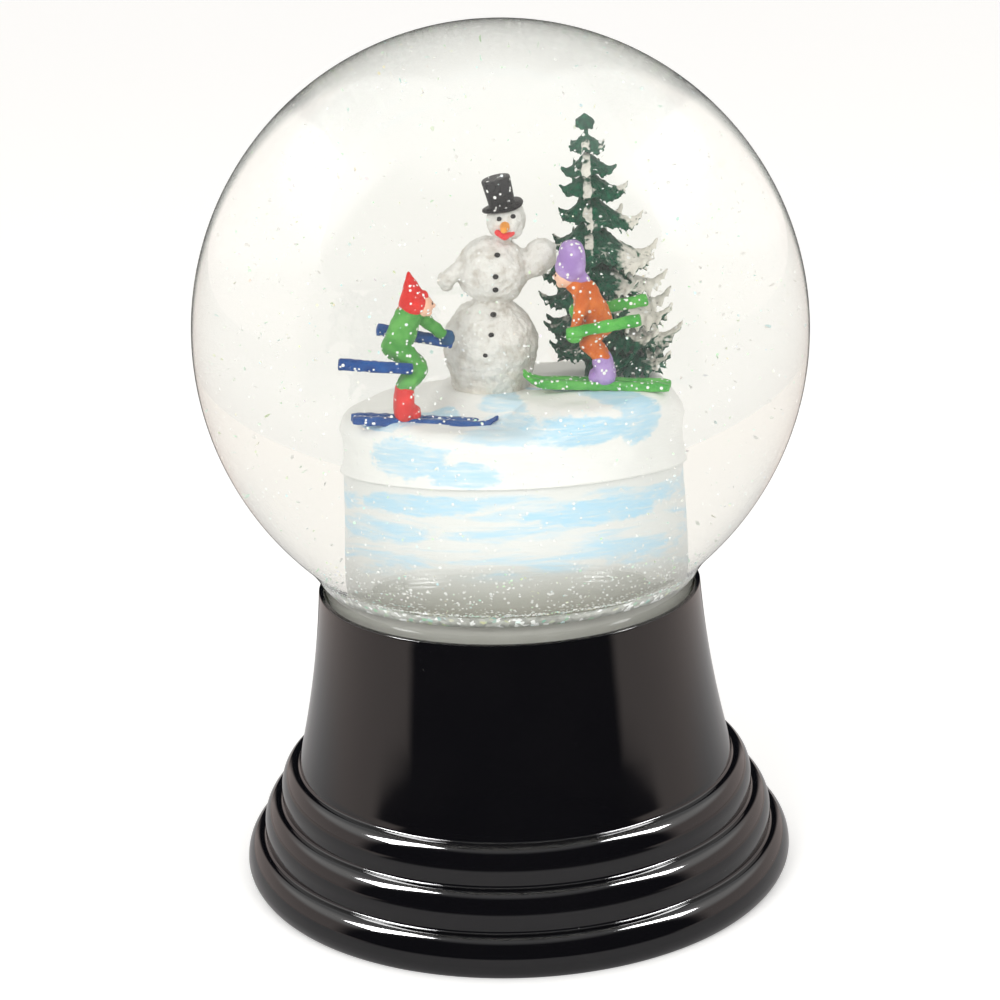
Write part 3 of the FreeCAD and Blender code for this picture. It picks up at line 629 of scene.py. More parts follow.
def make_stopper():
    """The plug whose crown shows through the foot of the glass."""
    stem = NECK_RADIUS - GLASS_WALL - 0.3
    bore = stem + 0.3
    flange = NECK_BOTTOM - 2.0
    hollow = (16.0, STOPPER_TOP - 7.5)
    outline = [(0.0, STOPPER_TOP)]
    outline += arc((stem - 0.6, STOPPER_TOP - 0.6), 0.6, 90.0, 0.0, 6)
    for seal in range(3):
        top = NECK_TOP - 2.8 * seal
        outline += [(stem, top), (bore, top - 0.3), (bore, top - 1.0), (stem, top - 1.3)]
    outline += [(stem, NECK_BOTTOM), (NECK_RADIUS, NECK_BOTTOM), (NECK_RADIUS, flange)]
    outline += [(hollow[0], flange), hollow, (0.0, hollow[1])]
    mesh = lathe("stopper_plug", outline, segments=160)
    plug = finish_piece("stopper_plug", mesh, rubber_material(), ["rubber_stopper"])
    plug.data.set_sharp_from_angle(angle=math.radians(40))


# ---- ground ----

# Azimuth from the front in degrees, height, half width, half height and strength of each stroke.
PEDESTAL_BAND = (49.5, 60.2)
PEDESTAL_STROKES = [(-38.0, 58.6, 9.0, 1.2, 0.8), (34.0, 57.4, 10.0, 1.5, 0.9)]
TERRAIN_STROKES = [
    (-42.0, 63.4, 5.6, 2.2, 0.75),
    (-20.0, 62.0, 4.6, 1.4, 0.8),
    (26.0, 66.2, 6.5, 1.7, 0.9),
    (4.0, 66.2, 7.0, 1.2, 0.6),
    (-58.0, 66.6, 4.5, 0.7, 0.75),
    (52.0, 66.8, 3.6, 3.2, 0.85),
    (-12.0, 68.0, 6.0, 0.9, 0.7),
]


def make_pedestal():
    """The turned block under the ground, very slightly out of true."""
    top, low = PEDESTAL_HIGH.z, PEDESTAL_LOW.z
    levels = 26
    side = [(PEDESTAL_RADIUS, top - (top - low) * i / levels) for i in range(levels + 1)]
    outline = [(0.0, top), *side, (0.0, low)]
    mesh = lathe("painted_pedestal", outline, segments=160, at=(SCENE_X, 0.0))
    for vertex in mesh.vertices:
        out = Vector((vertex.co.x - SCENE_X, vertex.co.y, 0.0))
        if out.length > 1.0 and low + 0.1 < vertex.co.z < top - 0.1:
            vertex.co += out.normalized() * (0.10 * noise.noise(vertex.co / 4.0) - 0.06)
    paint = snow_paint("pedestal_paint", PEDESTAL_STROKES, 0.14, PEDESTAL_BAND)
    block = finish_piece("painted_pedestal", mesh, paint, ["pedestal"])
    block.data.set_sharp_from_angle(angle=math.radians(50))


def ground_height(x, y):
    """The height of the modelled snow at a place, in millimetres: a plateau under snowman and tree, a
    step under the skier on the right, and three soft drifts."""
    x -= SCENE_X

    def level(edge, radius, along, across):
        t = (radius - math.hypot(along, across) + edge) / (2 * edge)
        t = min(max(t, 0.0), 1.0)
        return t * t * (3 - 2 * t)

    def drift(at_x, at_y, wide, deep):
        return math.exp(-(((x - at_x) / wide) ** 2) - ((y - at_y) / deep) ** 2)

    plateau = level(1.6, 11.6, x - 4.0, y - 2.6)
    right = level(2.2, 8.6, x - 8.2, (y + 4.6) / 1.35)
    height = LOW_GROUND + 2.1 * max(plateau, right) + 0.85 * drift(-10.6, -6.4, 5.4, 6.0)
    height += 1.2 * drift(-4.6, 8.4, 7.0, 5.5) * (1 - plateau) + 0.75 * drift(8.6, -4.4, 6.5, 4.5)
    return height + 0.22 * noise.noise(Vector(((x + SCENE_X) / 3.0, y / 3.0, 0.0)))


def make_terrain():
    """Modelled snow: a lumpy top that rolls over a rounded shoulder into an uneven side."""
    segments, rings, side = 200, 60, 26
    shoulder = 1.6
    base = TERRAIN_LOW.z
    built = bmesh.new()
    layers = []
    for r in range(1, rings + 1):
        ring = []
        reach = TERRAIN_RADIUS * (r / rings) ** 0.8
        over = max(reach - (TERRAIN_RADIUS - shoulder), 0.0) / shoulder
        drop = shoulder * (1 - math.sqrt(max(1 - over * over, 0.0)))
        for t in around(segments):
            x, y = SCENE_X + reach * math.cos(t), reach * math.sin(t)
            ring.append(built.verts.new((x, y, ground_height(x, y) - drop)))
        layers.append(ring)
    rim = layers[-1]
    for k in range(1, side + 1):
        ring = []
        fade = math.sin(math.pi * k / side)
        for t, above in zip(around(segments), rim):
            z = above.co.z + (base - above.co.z) * k / side
            wave = noise.noise(Vector((math.cos(t) * 4, math.sin(t) * 4, z / 2.4)))
            reach = TERRAIN_RADIUS + 0.35 * fade * (wave - 1)
            ring.append(built.verts.new((SCENE_X + reach * math.cos(t), reach * math.sin(t), z)))
        layers.append(ring)
    crown = built.verts.new((SCENE_X, 0.0, ground_height(SCENE_X, 0.0)))
    floor = built.verts.new((SCENE_X, 0.0, base))
    join_rings(built, [[crown]] + layers + [[floor]])
    mesh = as_mesh(built, "modelled_snow")
    paint = snow_paint("terrain_paint", TERRAIN_STROKES, 0.12)
    finish_piece("modelled_snow", mesh, paint, ["snow_terrain"])


# ---- figures ----


class Figure:
    """Points of a figure given from its feet, x the way it faces, in millimetres."""

    def __init__(self, at, heading=1.0):
        self.at = Vector(at)
        self.heading = heading

    def point(self, x, y, z):
        return self.at + Vector((x * self.heading, y, z))


# Of the snowman, from its feet: ball (x, z, radius, squash), arm (start, end, two radii), hand (place,
# radius, squash), and the hat's outline of (radius, height).
BALLS = [
    (2.1, 17.2, 1.92, (0.98, 1.0, 1.04)),
    (0.55, 12.2, 3.5, (1.0, 0.97, 0.98)),
    (0.1, 4.8, 4.65, (1.0, 1.0, 1.02)),
]
ARMS = [
    ((-1.6, 0.1, 13.2), (-3.9, -0.6, 11.6), 1.15, 0.85),
    ((2.4, 0.1, 12.2), (4.7, 0.1, 12.9), 1.6, 1.5),
]
HANDS = [
    ((-4.0, -0.6, 11.4), 0.92, (1.0, 1.0, 1.15)),
    ((5.3, 0.1, 13.5), 1.6, (1.0, 1.0, 1.1)),
]
HAT = [
    (0.0, -0.1),
    (2.0, -0.18),
    (2.1, 0.0),
    (2.02, 0.16),
    (1.36, 0.2),
    (1.32, 0.5),
    (1.46, 2.75),
    (1.42, 2.92),
    (1.1, 2.96),
    (0.0, 2.9),
]
HAT_AT = (1.75, 0, 18.6)
HAT_TILT = -12.0
# Radius and place of the two eyes and six buttons.
COAL = [
    (0.27, 1.35, -1.72, 17.75),
    (0.27, 2.75, -1.68, 17.95),
    (0.30, 1.05, -2.75, 14.35),
    (0.30, 0.8, -3.38, 12.3),
    (0.30, 0.75, -3.30, 10.95),
    (0.32, 0.45, -3.42, 8.5),
    (0.32, 0.15, -4.25, 6.6),
    (0.32, -0.5, -4.45, 4.65),
]


def make_hat(man):
    """A top hat with a slightly wavy brim."""
    hat = lathe("top_hat", HAT, segments=48)
    for vertex in hat.vertices:
        if math.hypot(*vertex.co.xy) > 1.6:
            vertex.co.z += 0.10 * math.sin(math.atan2(vertex.co.y, vertex.co.x) * 2)
    tilt = Matrix.Rotation(math.radians(HAT_TILT), 4, "Y")
    hat.transform(Matrix.Translation(man.point(*HAT_AT)) @ tilt)
    paint = brushed_paint("hat_black", (0.005, 0.005, 0.006), (0.014, 0.014, 0.015), specks=0.22)
    finish_piece("top_hat", hat, paint, ["snowman_hat"])


def make_snowman():
    """Three balls of modelled snow that lean, with stub arms, and small painted pieces on them."""
    man = Figure((SCENE_X - 1.9, 0.0, HIGH_GROUND - 0.6))
    built = bmesh.new()
    for x, z, radius, squash in BALLS:
        add_blob(built, man.point(x, 0, z), radius, squash, detail=64 if radius > 4.0 else 48)
    add_bar(built, man.point(0.0, 0.1, 0.5), man.point(0.1, 0.0, 2.8), 3.7, 4.3, dome=0.12)
    for start, end, radius, end_radius in ARMS:
        add_bar(built, man.point(*start), man.point(*end), radius, end_radius)
    for at, radius, squash in HANDS:
        add_blob(built, man.point(*at), radius, squash)
    mesh = modelled(as_mesh(built, "snowman"), 0.15, 5, [(0.22, 1.3), (0.12, 0.5)])
    finish_piece("snowman_figure", mesh, snowman_material(), ["snowman_body"])
    make_hat(man)

    built = bmesh.new()
    add_bar(built, man.point(1.95, -1.5, 17.0), man.point(1.8, -2.7, 16.85), 0.58, 0.36)
    nose = modelled(as_mesh(built, "nose"), 0.06, 2)
    orange = brushed_paint("nose_orange", (0.86, 0.33, 0.05), (0.95, 0.47, 0.12), specks=0.1)
    finish_piece("carrot_nose", nose, orange, ["snowman_nose"])

    built = bmesh.new()
    for radius, *at in COAL:
        add_blob(built, man.point(*at), radius, (1.0, 0.8, 0.85))
    black = brushed_paint("coal_black", (0.015, 0.015, 0.016), (0.04, 0.04, 0.04), specks=0.05)
    finish_piece("coal_buttons", as_mesh(built, "coal"), black, ["snowman_coal"])

    built = bmesh.new()
    left, middle, right = (1.15, -1.66, 16.35), (1.85, -1.82, 15.95), (2.6, -1.62, 16.25)
    add_bar(built, man.point(*left), man.point(*middle), 0.3, 0.36)
    add_bar(built, man.point(*middle), man.point(*right), 0.36, 0.28)
    lips = modelled(as_mesh(built, "lips"), 0.05, 2)
    red = brushed_paint("lip_red", (0.80, 0.05, 0.06), (0.88, 0.10, 0.09), specks=0.06)
    finish_piece("snowman_lips", lips, red)


def snowman_material():
    """Off-white modelled snow, with painted shade in the hollows, and darker and yellower towards its
    foot.
    """
    s = Shader("snowman_snow")
    lumps = s.noise(1.5, 5.0, 0.65)
    pits = s.noise(0.35, 4.0, 0.7)
    colour = s.mix(s.step(lumps, 0.30, 0.56), (0.66, 0.63, 0.58), (0.86, 0.855, 0.83))
    # Darker and yellower towards the foot.
    low = s.step(s.axes()[2], (HIGH_GROUND + 3.0) * MM, (HIGH_GROUND - 1.0) * MM)
    colour = s.mix(s.times(low, 0.45), colour, (0.74, 0.68, 0.55))
    # Painted shade: hollows, found by low pointiness, are darkened.
    hollow = s.step(s.node("NewGeometry").outputs["Pointiness"], 0.5, 0.42)
    colour = s.mix(s.times(hollow, 0.6), colour, (0.42, 0.38, 0.32))
    colour = s.mix(s.specks(0.6, 0.2), colour, (0.95, 0.95, 0.94))
    relief = s.plus(s.times(pits, 0.7), s.times(lumps, 0.6))
    return s.principled(colour, 0.55, s.bump(relief, 0.35), WET)


# ---- tree ----

# Branch rounds from the top down: height share at the trunk, reach towards +X, reach towards -X, how
# many, and how far the tips hang as a share of the reach.
ROUNDS = [
    (0.965, 1.1, 1.2, 5, 0.42),
    (0.895, 2.3, 2.0, 6, 0.50),
    (0.825, 3.4, 2.7, 6, 0.50),
    (0.755, 4.4, 2.9, 7, 0.50),
    (0.675, 5.5, 3.5, 7, 0.54),
    (0.590, 7.4, 4.3, 8, 0.58),
    (0.490, 7.8, 5.2, 8, 0.50),
    (0.385, 8.9, 5.2, 9, 0.44),
    (0.275, 9.0, 5.0, 9, 0.40),
    (0.175, 8.7, 4.6, 9, 0.34),
]


def add_frond(built, root, azimuth, reach, droop, dice):
    """One spruce branch: a ridged, ragged-edged spray that hangs from the trunk and lifts at its tip."""
    outward = Vector((math.cos(azimuth), math.sin(azimuth), 0.0))
    across = Vector((-math.sin(azimuth), math.cos(azimuth), 0.0))
    up = Vector((0, 0, 1))
    width = 0.30 * reach + 0.5
    steps = 18
    rows = []
    for i in range(steps + 1):
        t = i / steps
        spot = root + outward * (reach * t)
        spot.z += -droop * math.sin(t * math.pi * 0.58) + 0.16 * reach * max(t - 0.70, 0.0) ** 2 * 11
        belly = math.sin(math.pi * min(t * 0.86 + 0.14, 1.0)) ** 0.7
        tooth, sag, lead = (1.0, 1.25, 0.18) if i % 2 else (0.66, 0.8, 0.0)
        half = width * (0.12 + 0.88 * belly) * tooth * dice.uniform(0.85, 1.15) * (1 - 0.55 * t**3)
        hang = 0.62 * half * sag
        body = 0.62 - 0.36 * t
        edge = outward * (lead * half) - up * hang
        shape = [
            across * half + edge,
            across * (half * 0.5) + up * (body * 0.35),
            up * body,
            across * (-half * 0.5) + up * (body * 0.35),
            across * -half + edge,
            up * (-body * 0.6 - hang * 0.25),
        ]
        rows.append([built.verts.new(spot + offset) for offset in shape])
    join_rings(built, rows)
    built.faces.new(rows[0][::-1])
    built.faces.new(rows[-1])


TREE_X, TREE_Y = SCENE_X + 8.1, 5.0


def make_tree():
    """The spruce: a tapered trunk with rounds of hanging fronds, longer on the right, as one skin."""
    low = box_mm("spruce_trunk")[0]
    high = box_mm("spruce_branches")[1]
    foot = Vector((TREE_X, TREE_Y, low.z))
    height = high.z - low.z + 0.6
    built = bmesh.new()
    dice = random.Random(11)
    for k, (share, right, left, count, hang) in enumerate(ROUNDS):
        for i in range(count):
            azimuth = 2 * math.pi * (i + 0.5 * (k % 2)) / count + dice.uniform(-0.14, 0.14)
            side = (math.cos(azimuth) + 1) / 2
            reach = (left + (right - left) * side) * (0.76 + 0.24 * abs(math.cos(azimuth)))
            reach *= dice.uniform(0.88, 1.02)
            root = foot + Vector((0, 0, height * share + dice.uniform(-0.2, 0.2)))
            add_frond(built, root, azimuth, reach, hang * reach, dice)
    add_bar(built, foot, foot + Vector((0.1, 0, height * 0.97)), 0.95, 0.2)
    mesh = modelled(as_mesh(built, "spruce"), 0.14, 1, [(0.12, 0.45)])
    nodes = ["spruce_branches", "spruce_trunk"]
    finish_piece("spruce_tree", mesh, spruce_material(), nodes)


def spruce_material():
    """Dark green paint, with cream snow paint over the upper sides of the branches, more of it low down
    and to the right; the cream on the branch ends is partly snow paint and partly painted highlight, and
    a pale line down the upper trunk is a painted highlight."""
    s = Shader("spruce_green_snow_and_highlight")
    needles = s.noise(0.45, 5.0, 0.7)
    cloud = s.noise(3.4, 4.0, 0.6)
    green = s.mix(s.step(needles, 0.35, 0.7), (0.002, 0.045, 0.026), (0.006, 0.135, 0.066))
    x, y, z = s.axes()
    dx = s.minus(x, TREE_X * MM)
    down = s.over(s.minus((HIGH_GROUND + 26.5) * MM, z), 26.0 * MM)
    full = s.plus(s.times(down, 8.8 * MM), 0.9 * MM)
    outer = s.over(s.length(dx, s.minus(y, TREE_Y * MM)), full)
    up = s.axes(s.node("NewGeometry").outputs["Normal"])[2]
    # Painted highlight: a pale line down the middle of the upper trunk.
    painted_trunk_highlight = s.step(s.math("ABSOLUTE", dx), 0.6 * MM, 0.3 * MM)
    to_right = s.step(dx, 0.5 * MM, 4.5 * MM)
    # Cream on the upper sides is snow paint; on the branch ends it is partly snow paint and partly
    # painted highlight.
    snow_and_highlight = s.plus(s.times(outer, 0.55), s.times(up, 0.30))
    for extra in (
        s.times(s.times(painted_trunk_highlight, s.step(down, 0.65, 0.5)), 0.36),
        s.times(s.step(down, 0.18, 0.6), 0.14),
        s.times(s.times(to_right, s.step(down, 0.3, 0.5)), 0.2),
        s.times(s.minus(cloud, 0.5), 1.5),
    ):
        snow_and_highlight = s.plus(snow_and_highlight, extra)
    cover = s.times(s.step(snow_and_highlight, 0.70, 0.86), s.step(needles, 0.24, 0.44))
    cream = s.mix(cloud, (0.74, 0.70, 0.62), (0.84, 0.83, 0.78))
    colour = s.mix(s.specks(0.8, 0.35), s.mix(cover, green, cream), SNOW_SPECK)
    relief = s.plus(needles, s.times(cover, 0.5))
    return s.principled(colour, 0.42, s.bump(relief, 0.14), WET)


# ---- skiers ----

# Poses, from the skis up: x forward, y to the left of one that faces right, z up. Ankle, knee and hip
# are (x, z); an arm is (shoulder, hand); a pole is (front end, way to its back end).
RED_CAP_POSE = {
    "ankle": (0.1, 3.0),
    "knee": (1.6, 4.9),
    "hip": (-0.5, 7.3),
    "shoulder": (0.7, 0, 10.2),
    "face": (2.2, 0, 11.3),
    "cap": ((1.3, 0, 11.7), (0.9, 0, 14.7)),
    "cap_end": 0.18,
    "arms": [((1.6, 1.0, 10.3), (4.6, 1.9, 7.5))],
    "poles": [((5.1, 2.1, 6.9), (-7.8, 0.3, 1.7)), ((0.9, -2.1, 5.2), (-7.3, -0.2, 0.8))],
}
PURPLE_CAP_POSE = {
    "ankle": (0.3, 2.4),
    "knee": (1.6, 4.0),
    "hip": (0.5, 5.7),
    "shoulder": (1.7, 0, 8.9),
    "face": (3.6, 0, 10.6),
    "cap": ((3.1, 0, 11.5), (2.9, 0, 13.0)),
    "cap_end": 1.35,
    "arms": [((1.9, -1.2, 8.8), (2.9, -2.2, 5.0)), ((1.9, 1.2, 8.8), (2.6, 2.0, 6.6))],
    "poles": [((3.6, -2.6, 5.3), (-7.6, -0.6, 1.3)), ((3.2, 2.2, 6.2), (-7.6, 0.5, 1.2))],
}
SKI_LENGTH = 14.8
SKI_WIDTH = 1.3
SKI_THICKNESS = 0.9
SKI_GAP = 0.5
POLE_LENGTH = 7.6


def add_ski(built, man, side, slope, back):
    """A board with an upturned, pointed tip."""
    steps = 30
    rows = []
    middle = side * (SKI_WIDTH + SKI_GAP) / 2
    for i in range(steps + 1):
        t = i / steps
        along = SKI_LENGTH * (t - back)
        nose = max(t - 0.84, 0.0) / 0.16
        tail = max(0.06 - t, 0.0) / 0.06
        waist = 0.94 + 0.08 * abs(2 * t - 1)
        half = SKI_WIDTH / 2 * (1 - 0.82 * nose**1.7) * (1 - 0.35 * tail**2) * waist
        thick = SKI_THICKNESS * (1 - 0.45 * nose) * (1 - 0.2 * tail)
        low = 1.15 * nose**1.8 - SKI_THICKNESS
        section = ((-1, 0), (-1, 0.72), (-0.7, 1), (0.7, 1), (1, 0.72), (1, 0))
        spots = [(along * man.heading, middle + half * y, low + thick * z) for y, z in section]
        rows.append([built.verts.new(spot) for spot in spots])
    join_rings(built, rows)
    built.faces.new(rows[0][::-1])
    built.faces.new(rows[-1])
    moved = [v for row in rows for v in row]
    turn = Matrix.Rotation(math.radians(slope), 4, "Y")
    bmesh.ops.transform(built, matrix=Matrix.Translation(man.at) @ turn, verts=moved)


# Light and dark tone of each paint.
PAINTS = {
    "green": ((0.055, 0.27, 0.045), (0.13, 0.42, 0.09)),
    "blue": ((0.003, 0.045, 0.21), (0.01, 0.09, 0.33)),
    "red": ((0.62, 0.015, 0.012), (0.80, 0.035, 0.025)),
    "orange": ((0.55, 0.105, 0.012), (0.74, 0.19, 0.03)),
    "purple": ((0.33, 0.20, 0.50), (0.48, 0.34, 0.66)),
    "ski_green": ((0.05, 0.33, 0.045), (0.13, 0.50, 0.09)),
    "skin": ((0.82, 0.47, 0.33), (0.90, 0.58, 0.43)),
    "mitt": ((0.01, 0.05, 0.13), (0.02, 0.10, 0.22)),
}
# Paint and slot of each part.
RED_CAP_PARTS = {
    "skis": ("blue", "blue_paint"),
    "poles": ("blue", "blue_paint"),
    "boots": ("red", "red_paint"),
    "mitts": ("mitt", "mitt_blue_paint"),
    "face": ("skin", "skin_paint"),
    "cap": ("red", "red_paint"),
    "suit": ("green", "green_paint"),
}
PURPLE_CAP_PARTS = {
    "skis": ("ski_green", "green_paint"),
    "poles": ("ski_green", "green_paint"),
    "boots": ("purple", "purple_paint"),
    "mitts": ("ski_green", "green_paint"),
    "face": ("skin", "skin_paint"),
    "cap": ("purple", "purple_paint"),
    "suit": ("orange", "suit_orange_paint"),
}


def make_skier(name, man, slope, back, pose, parts, eye_paint):
    """One crouching skier, each painted region its own skin."""
    heading = man.heading
    stance = 0.85

    def skin(tag, built, voxel, smooth, bumps=((0.07, 0.7),)):
        colour, slot = parts[tag]
        paint = brushed_paint(f"{tag}_{colour}", *PAINTS[colour])
        mesh = modelled(as_mesh(built, f"{name}_{tag}"), voxel, smooth, bumps)
        finish_piece(f"{name}_{tag}_painted", mesh, paint, [f"{name}_{tag}"])

    built = bmesh.new()
    for side in (-1, 1):
        add_ski(built, man, side, slope, back)
    skin("skis", built, 0.12, 2)

    built = bmesh.new()
    for grip, away in pose["poles"]:
        way = Vector((away[0] * heading, away[1], away[2])).normalized() * POLE_LENGTH
        start = man.point(*grip)
        add_bar(built, start, start + way, 0.58, 0.64, detail=24, dome=0.15)
    skin("poles", built, 0.11, 1)

    built = bmesh.new()
    for side in (-1, 1):
        y = stance * side
        ankle_x, ankle_z = pose["ankle"]
        add_bar(built, man.point(0, y, 0.5), man.point(ankle_x, y, ankle_z - 0.4), 1.08, 0.98)
        add_bar(built, man.point(0.1, y, 0.45), man.point(1.05, y, 0.4), 0.78, 0.66)
    skin("boots", built, 0.11, 2)

    built = bmesh.new()
    for _, hand in pose["arms"]:
        add_blob(built, man.point(*hand), 0.85, (1.05, 0.9, 0.95))
        add_blob(built, man.point(hand[0] + 0.4, hand[1] - 0.25, hand[2] + 0.45), 0.34)
    skin("mitts", built, 0.09, 2)

    built = bmesh.new()
    fx, fy, fz = pose["face"]
    add_blob(built, man.point(fx, fy, fz), 1.15, (0.95, 0.92, 1.0), detail=32)
    add_blob(built, man.point(fx + 1.1, fy, fz - 0.05), 0.26)
    add_blob(built, man.point(fx + 0.55, fy, fz - 0.72), 0.42)
    skin("face", built, 0.07, 2, ())

    built = bmesh.new()
    for side in (-1, 1):
        add_blob(built, man.point(fx + 0.98, fy + 0.36 * side, fz + 0.22), 0.13)
    finish_piece(f"{name}_eyes", as_mesh(built, f"{name}_eyes"), eye_paint)

    built = bmesh.new()
    cap_low, cap_high = (man.point(*spot) for spot in pose["cap"])
    add_bar(built, cap_low, cap_high, 1.55, pose["cap_end"], detail=32)
    if pose["cap_end"] > 1.0:
        add_bar(built, cap_high, cap_high + Vector((0.35 * heading, 0, 0.25)), 1.2, 0.9)
        add_bar(built, cap_low, cap_low + Vector((-1.5 * heading, 0, -1.6)), 1.1, 0.6)
    else:
        add_bar(built, cap_low, cap_low + Vector((-1.3 * heading, 0, -0.9)), 1.05, 0.45)
        add_bar(built, cap_low, cap_low + Vector((0.9 * heading, 0, 0.5)), 1.2, 0.7)
    skin("cap", built, 0.11, 3)

    built = bmesh.new()
    hip = man.point(pose["hip"][0], 0, pose["hip"][1])
    shoulder = man.point(*pose["shoulder"])
    for side in (-1, 1):
        y = stance * side
        ankle = man.point(pose["ankle"][0], y, pose["ankle"][1])
        knee = man.point(pose["knee"][0], y, pose["knee"][1])
        seat = man.point(pose["hip"][0], y * 0.7, pose["hip"][1])
        add_bar(built, ankle, knee, 0.82, 0.98)
        add_bar(built, knee, seat, 0.98, 1.25)
    add_bar(built, hip, shoulder, 1.55, 1.4, detail=28)
    add_bar(built, shoulder, man.point(fx - 0.5, fy, fz - 0.6), 1.1, 0.8)
    for start, hand in pose["arms"]:
        add_bar(built, man.point(*start), man.point(*hand), 0.78, 0.56)
    skin("suit", built, 0.13, 5, ((0.14, 1.1), (0.05, 0.4)))


def make_skiers():
    """The red-capped skier low on the left, and the purple-capped one on the step to the right."""
    eyes = brushed_paint("eye_brown", (0.06, 0.03, 0.02), (0.12, 0.06, 0.04), specks=0.0)
    red = Figure((SCENE_X - 10.8, -8.0, LOW_GROUND + 1.1), 1.0)
    purple = Figure((SCENE_X + 9.5, -5.2, HIGH_GROUND + 1.3), -1.0)
    make_skier("red_cap_skier", red, 4.5, 0.36, RED_CAP_POSE, RED_CAP_PARTS, eyes)
    make_skier("purple_cap_skier", purple, 3.6, 0.44, PURPLE_CAP_POSE, PURPLE_CAP_PARTS, eyes)


# ---- snow in the water ----

# The loose flakes circle outside this radius, and everything else stays inside it or below them.
LOOSE_CLEAR = 20.3
TREE_CLEAR = 28.0
DRIFTING = 2600
LYING = 1500
HANGING = 1300


def add_flake(built, out, azimuth, z, radius, dice):
    """One thin, six-sided flake of film, bent a little across the middle."""
    spot = Vector((out * math.cos(azimuth), out * math.sin(azimuth), z))
    turn = Matrix.Rotation(dice.uniform(0, 2 * math.pi), 4, "Z")
    turn = turn @ Matrix.Rotation(math.acos(dice.uniform(-1, 1)), 4, "X")
    half = Vector((0, 0, radius * 0.08))
    top, low = [], []
    for t in around(6):
        reach = radius * dice.uniform(0.75, 1.05)
        flat = Vector((reach * math.cos(t), reach * math.sin(t), 0.15 * reach * math.cos(t * 2)))
        top.append(built.verts.new(spot + turn @ (flat + half)))
        low.append(built.verts.new(spot + turn @ (flat - half)))
    join_rings(built, [top, low])
    built.faces.new(top)
    built.faces.new(low[::-1])


def pedestal_reach(angle):
    """How far from the globe's axis the pedestal's side is, that way."""
    c = math.cos(angle)
    return SCENE_X * c + math.sqrt(PEDESTAL_RADIUS**2 - (SCENE_X * math.sin(angle)) ** 2)


def wall_reach(level, gap):
    """How far from the axis the blend of the glass is at a height, less a gap."""
    inner_blend = NECK_BLEND + GLASS_WALL
    return NECK_RADIUS + NECK_BLEND - math.sqrt(inner_blend**2 - (level - NECK_TOP) ** 2) - gap


def make_drifting():
    """Loose flakes outside the reach of the scene, so that they can circle it."""
    dice = random.Random(5)
    built = bmesh.new()
    inside = GLOBE_RADIUS - GLASS_WALL - 0.9
    low = BED_TOP + 0.8
    count = 0
    while count < DRIFTING:
        out = dice.uniform(0.0, inside)
        angle = dice.uniform(0, 2 * math.pi)
        z = low + (GLOBE_CENTRE + inside - low) * dice.random() ** 1.25
        if dice.random() > out / inside or math.hypot(out, z - GLOBE_CENTRE) > inside:
            continue
        if out < LOOSE_CLEAR and z < HIGH_GROUND + TREE_CLEAR:
            continue
        add_flake(built, out, angle, z, dice.uniform(0.07, 0.21), dice)
        count += 1
    mesh = as_mesh(built, "drifting_flakes")
    flakes = flake_material("drifting_mica")
    finish_piece("drifting_flakes", mesh, flakes, ["drifting_snow"], LOOSE, smooth=False)


def make_heap():
    """The heap of flakes that fills the gutter between pedestal and glass."""
    steps = 16
    low = STOPPER_TOP - 0.2
    built = bmesh.new()
    rows = []
    for angle in around(220):
        ray = Vector((math.cos(angle), math.sin(angle), 0))
        start = pedestal_reach(angle) - 0.1
        spots = [ray * start + Vector((0, 0, low))]
        for k in range(steps + 1):
            t = k / steps
            level = BED_TOP - 0.55 + 0.5 * noise.noise(ray * 5 + Vector((0, 0, t * 3))) + 0.25 * t
            spot = ray * (start + (wall_reach(level, 0.05) - start) * t)
            spots.append(spot + Vector((0, 0, level + 0.22 * noise.noise(spot / 0.8))))
        spots.append(ray * wall_reach(low, 0.05) + Vector((0, 0, low)))
        rows.append([built.verts.new(spot) for spot in spots])
    join_rings(built, rows, closed=True)
    mesh = as_mesh(built, "settled_heap")
    finish_piece("settled_heap", mesh, settled_material(), ["settled_snow"])


def make_settled():
    """The heap round the pedestal, single flakes that lie on it, and some that hang just above it."""
    make_heap()
    dice = random.Random(3)
    built = bmesh.new()
    for _ in range(LYING):
        angle = dice.uniform(0, 2 * math.pi)
        t = dice.random()
        start = pedestal_reach(angle)
        level = BED_TOP - 0.1 + 0.25 * t + dice.uniform(0, 0.35)
        out = start + (wall_reach(level, 0.5) - start) * t
        add_flake(built, out, angle, level, dice.uniform(0.1, 0.24), dice)
    for _ in range(HANGING):
        angle = dice.uniform(0, 2 * math.pi)
        level = BED_TOP + 7.0 * dice.random() ** 1.5
        start = pedestal_reach(angle) + 0.4
        edge = min(wall_reach(min(level, NECK_TOP + NECK_BLEND), 0.0), LOOSE_CLEAR) - 0.6
        out = start + (edge - start) * dice.random() ** 0.5
        add_flake(built, out, angle, level, dice.uniform(0.1, 0.22), dice)
    mesh = as_mesh(built, "settled_flakes")
    flakes = flake_material("settled_mica")
    finish_piece("settled_flakes", mesh, flakes, smooth=False)


# ---- stage ----

CAMERA_DISTANCE = 280.0
CAMERA_ELEVATION = 16.39
CAMERA_ROLL = -2.1
CAMERA_AIM = (-0.86, 0.0, 50.94)
CAMERA_LENS = 75.4
FLOOR_HALF = 6000.0
FLOOR_WHITE = (0.93, 0.93, 0.925)
LAMP_AIM = Vector((0, 0, 45.0))
# Lamps: azimuth (0 in front, positive to the right), elevation, distance, width, height, power.
KEYS = {
    "left_key": (-32.0, 30.0, 700.0, 300.0, 300.0, 1.6),
    "right_key": (34.0, 32.0, 700.0, 300.0, 300.0, 1.1),
}
HIGHLIGHTS = {
    "left_highlight": (-80.0, 52.0, 650.0, 170.0, 320.0, 17.0),
    "right_highlight": (84.0, 52.0, 650.0, 115.0, 300.0, 11.0),
}


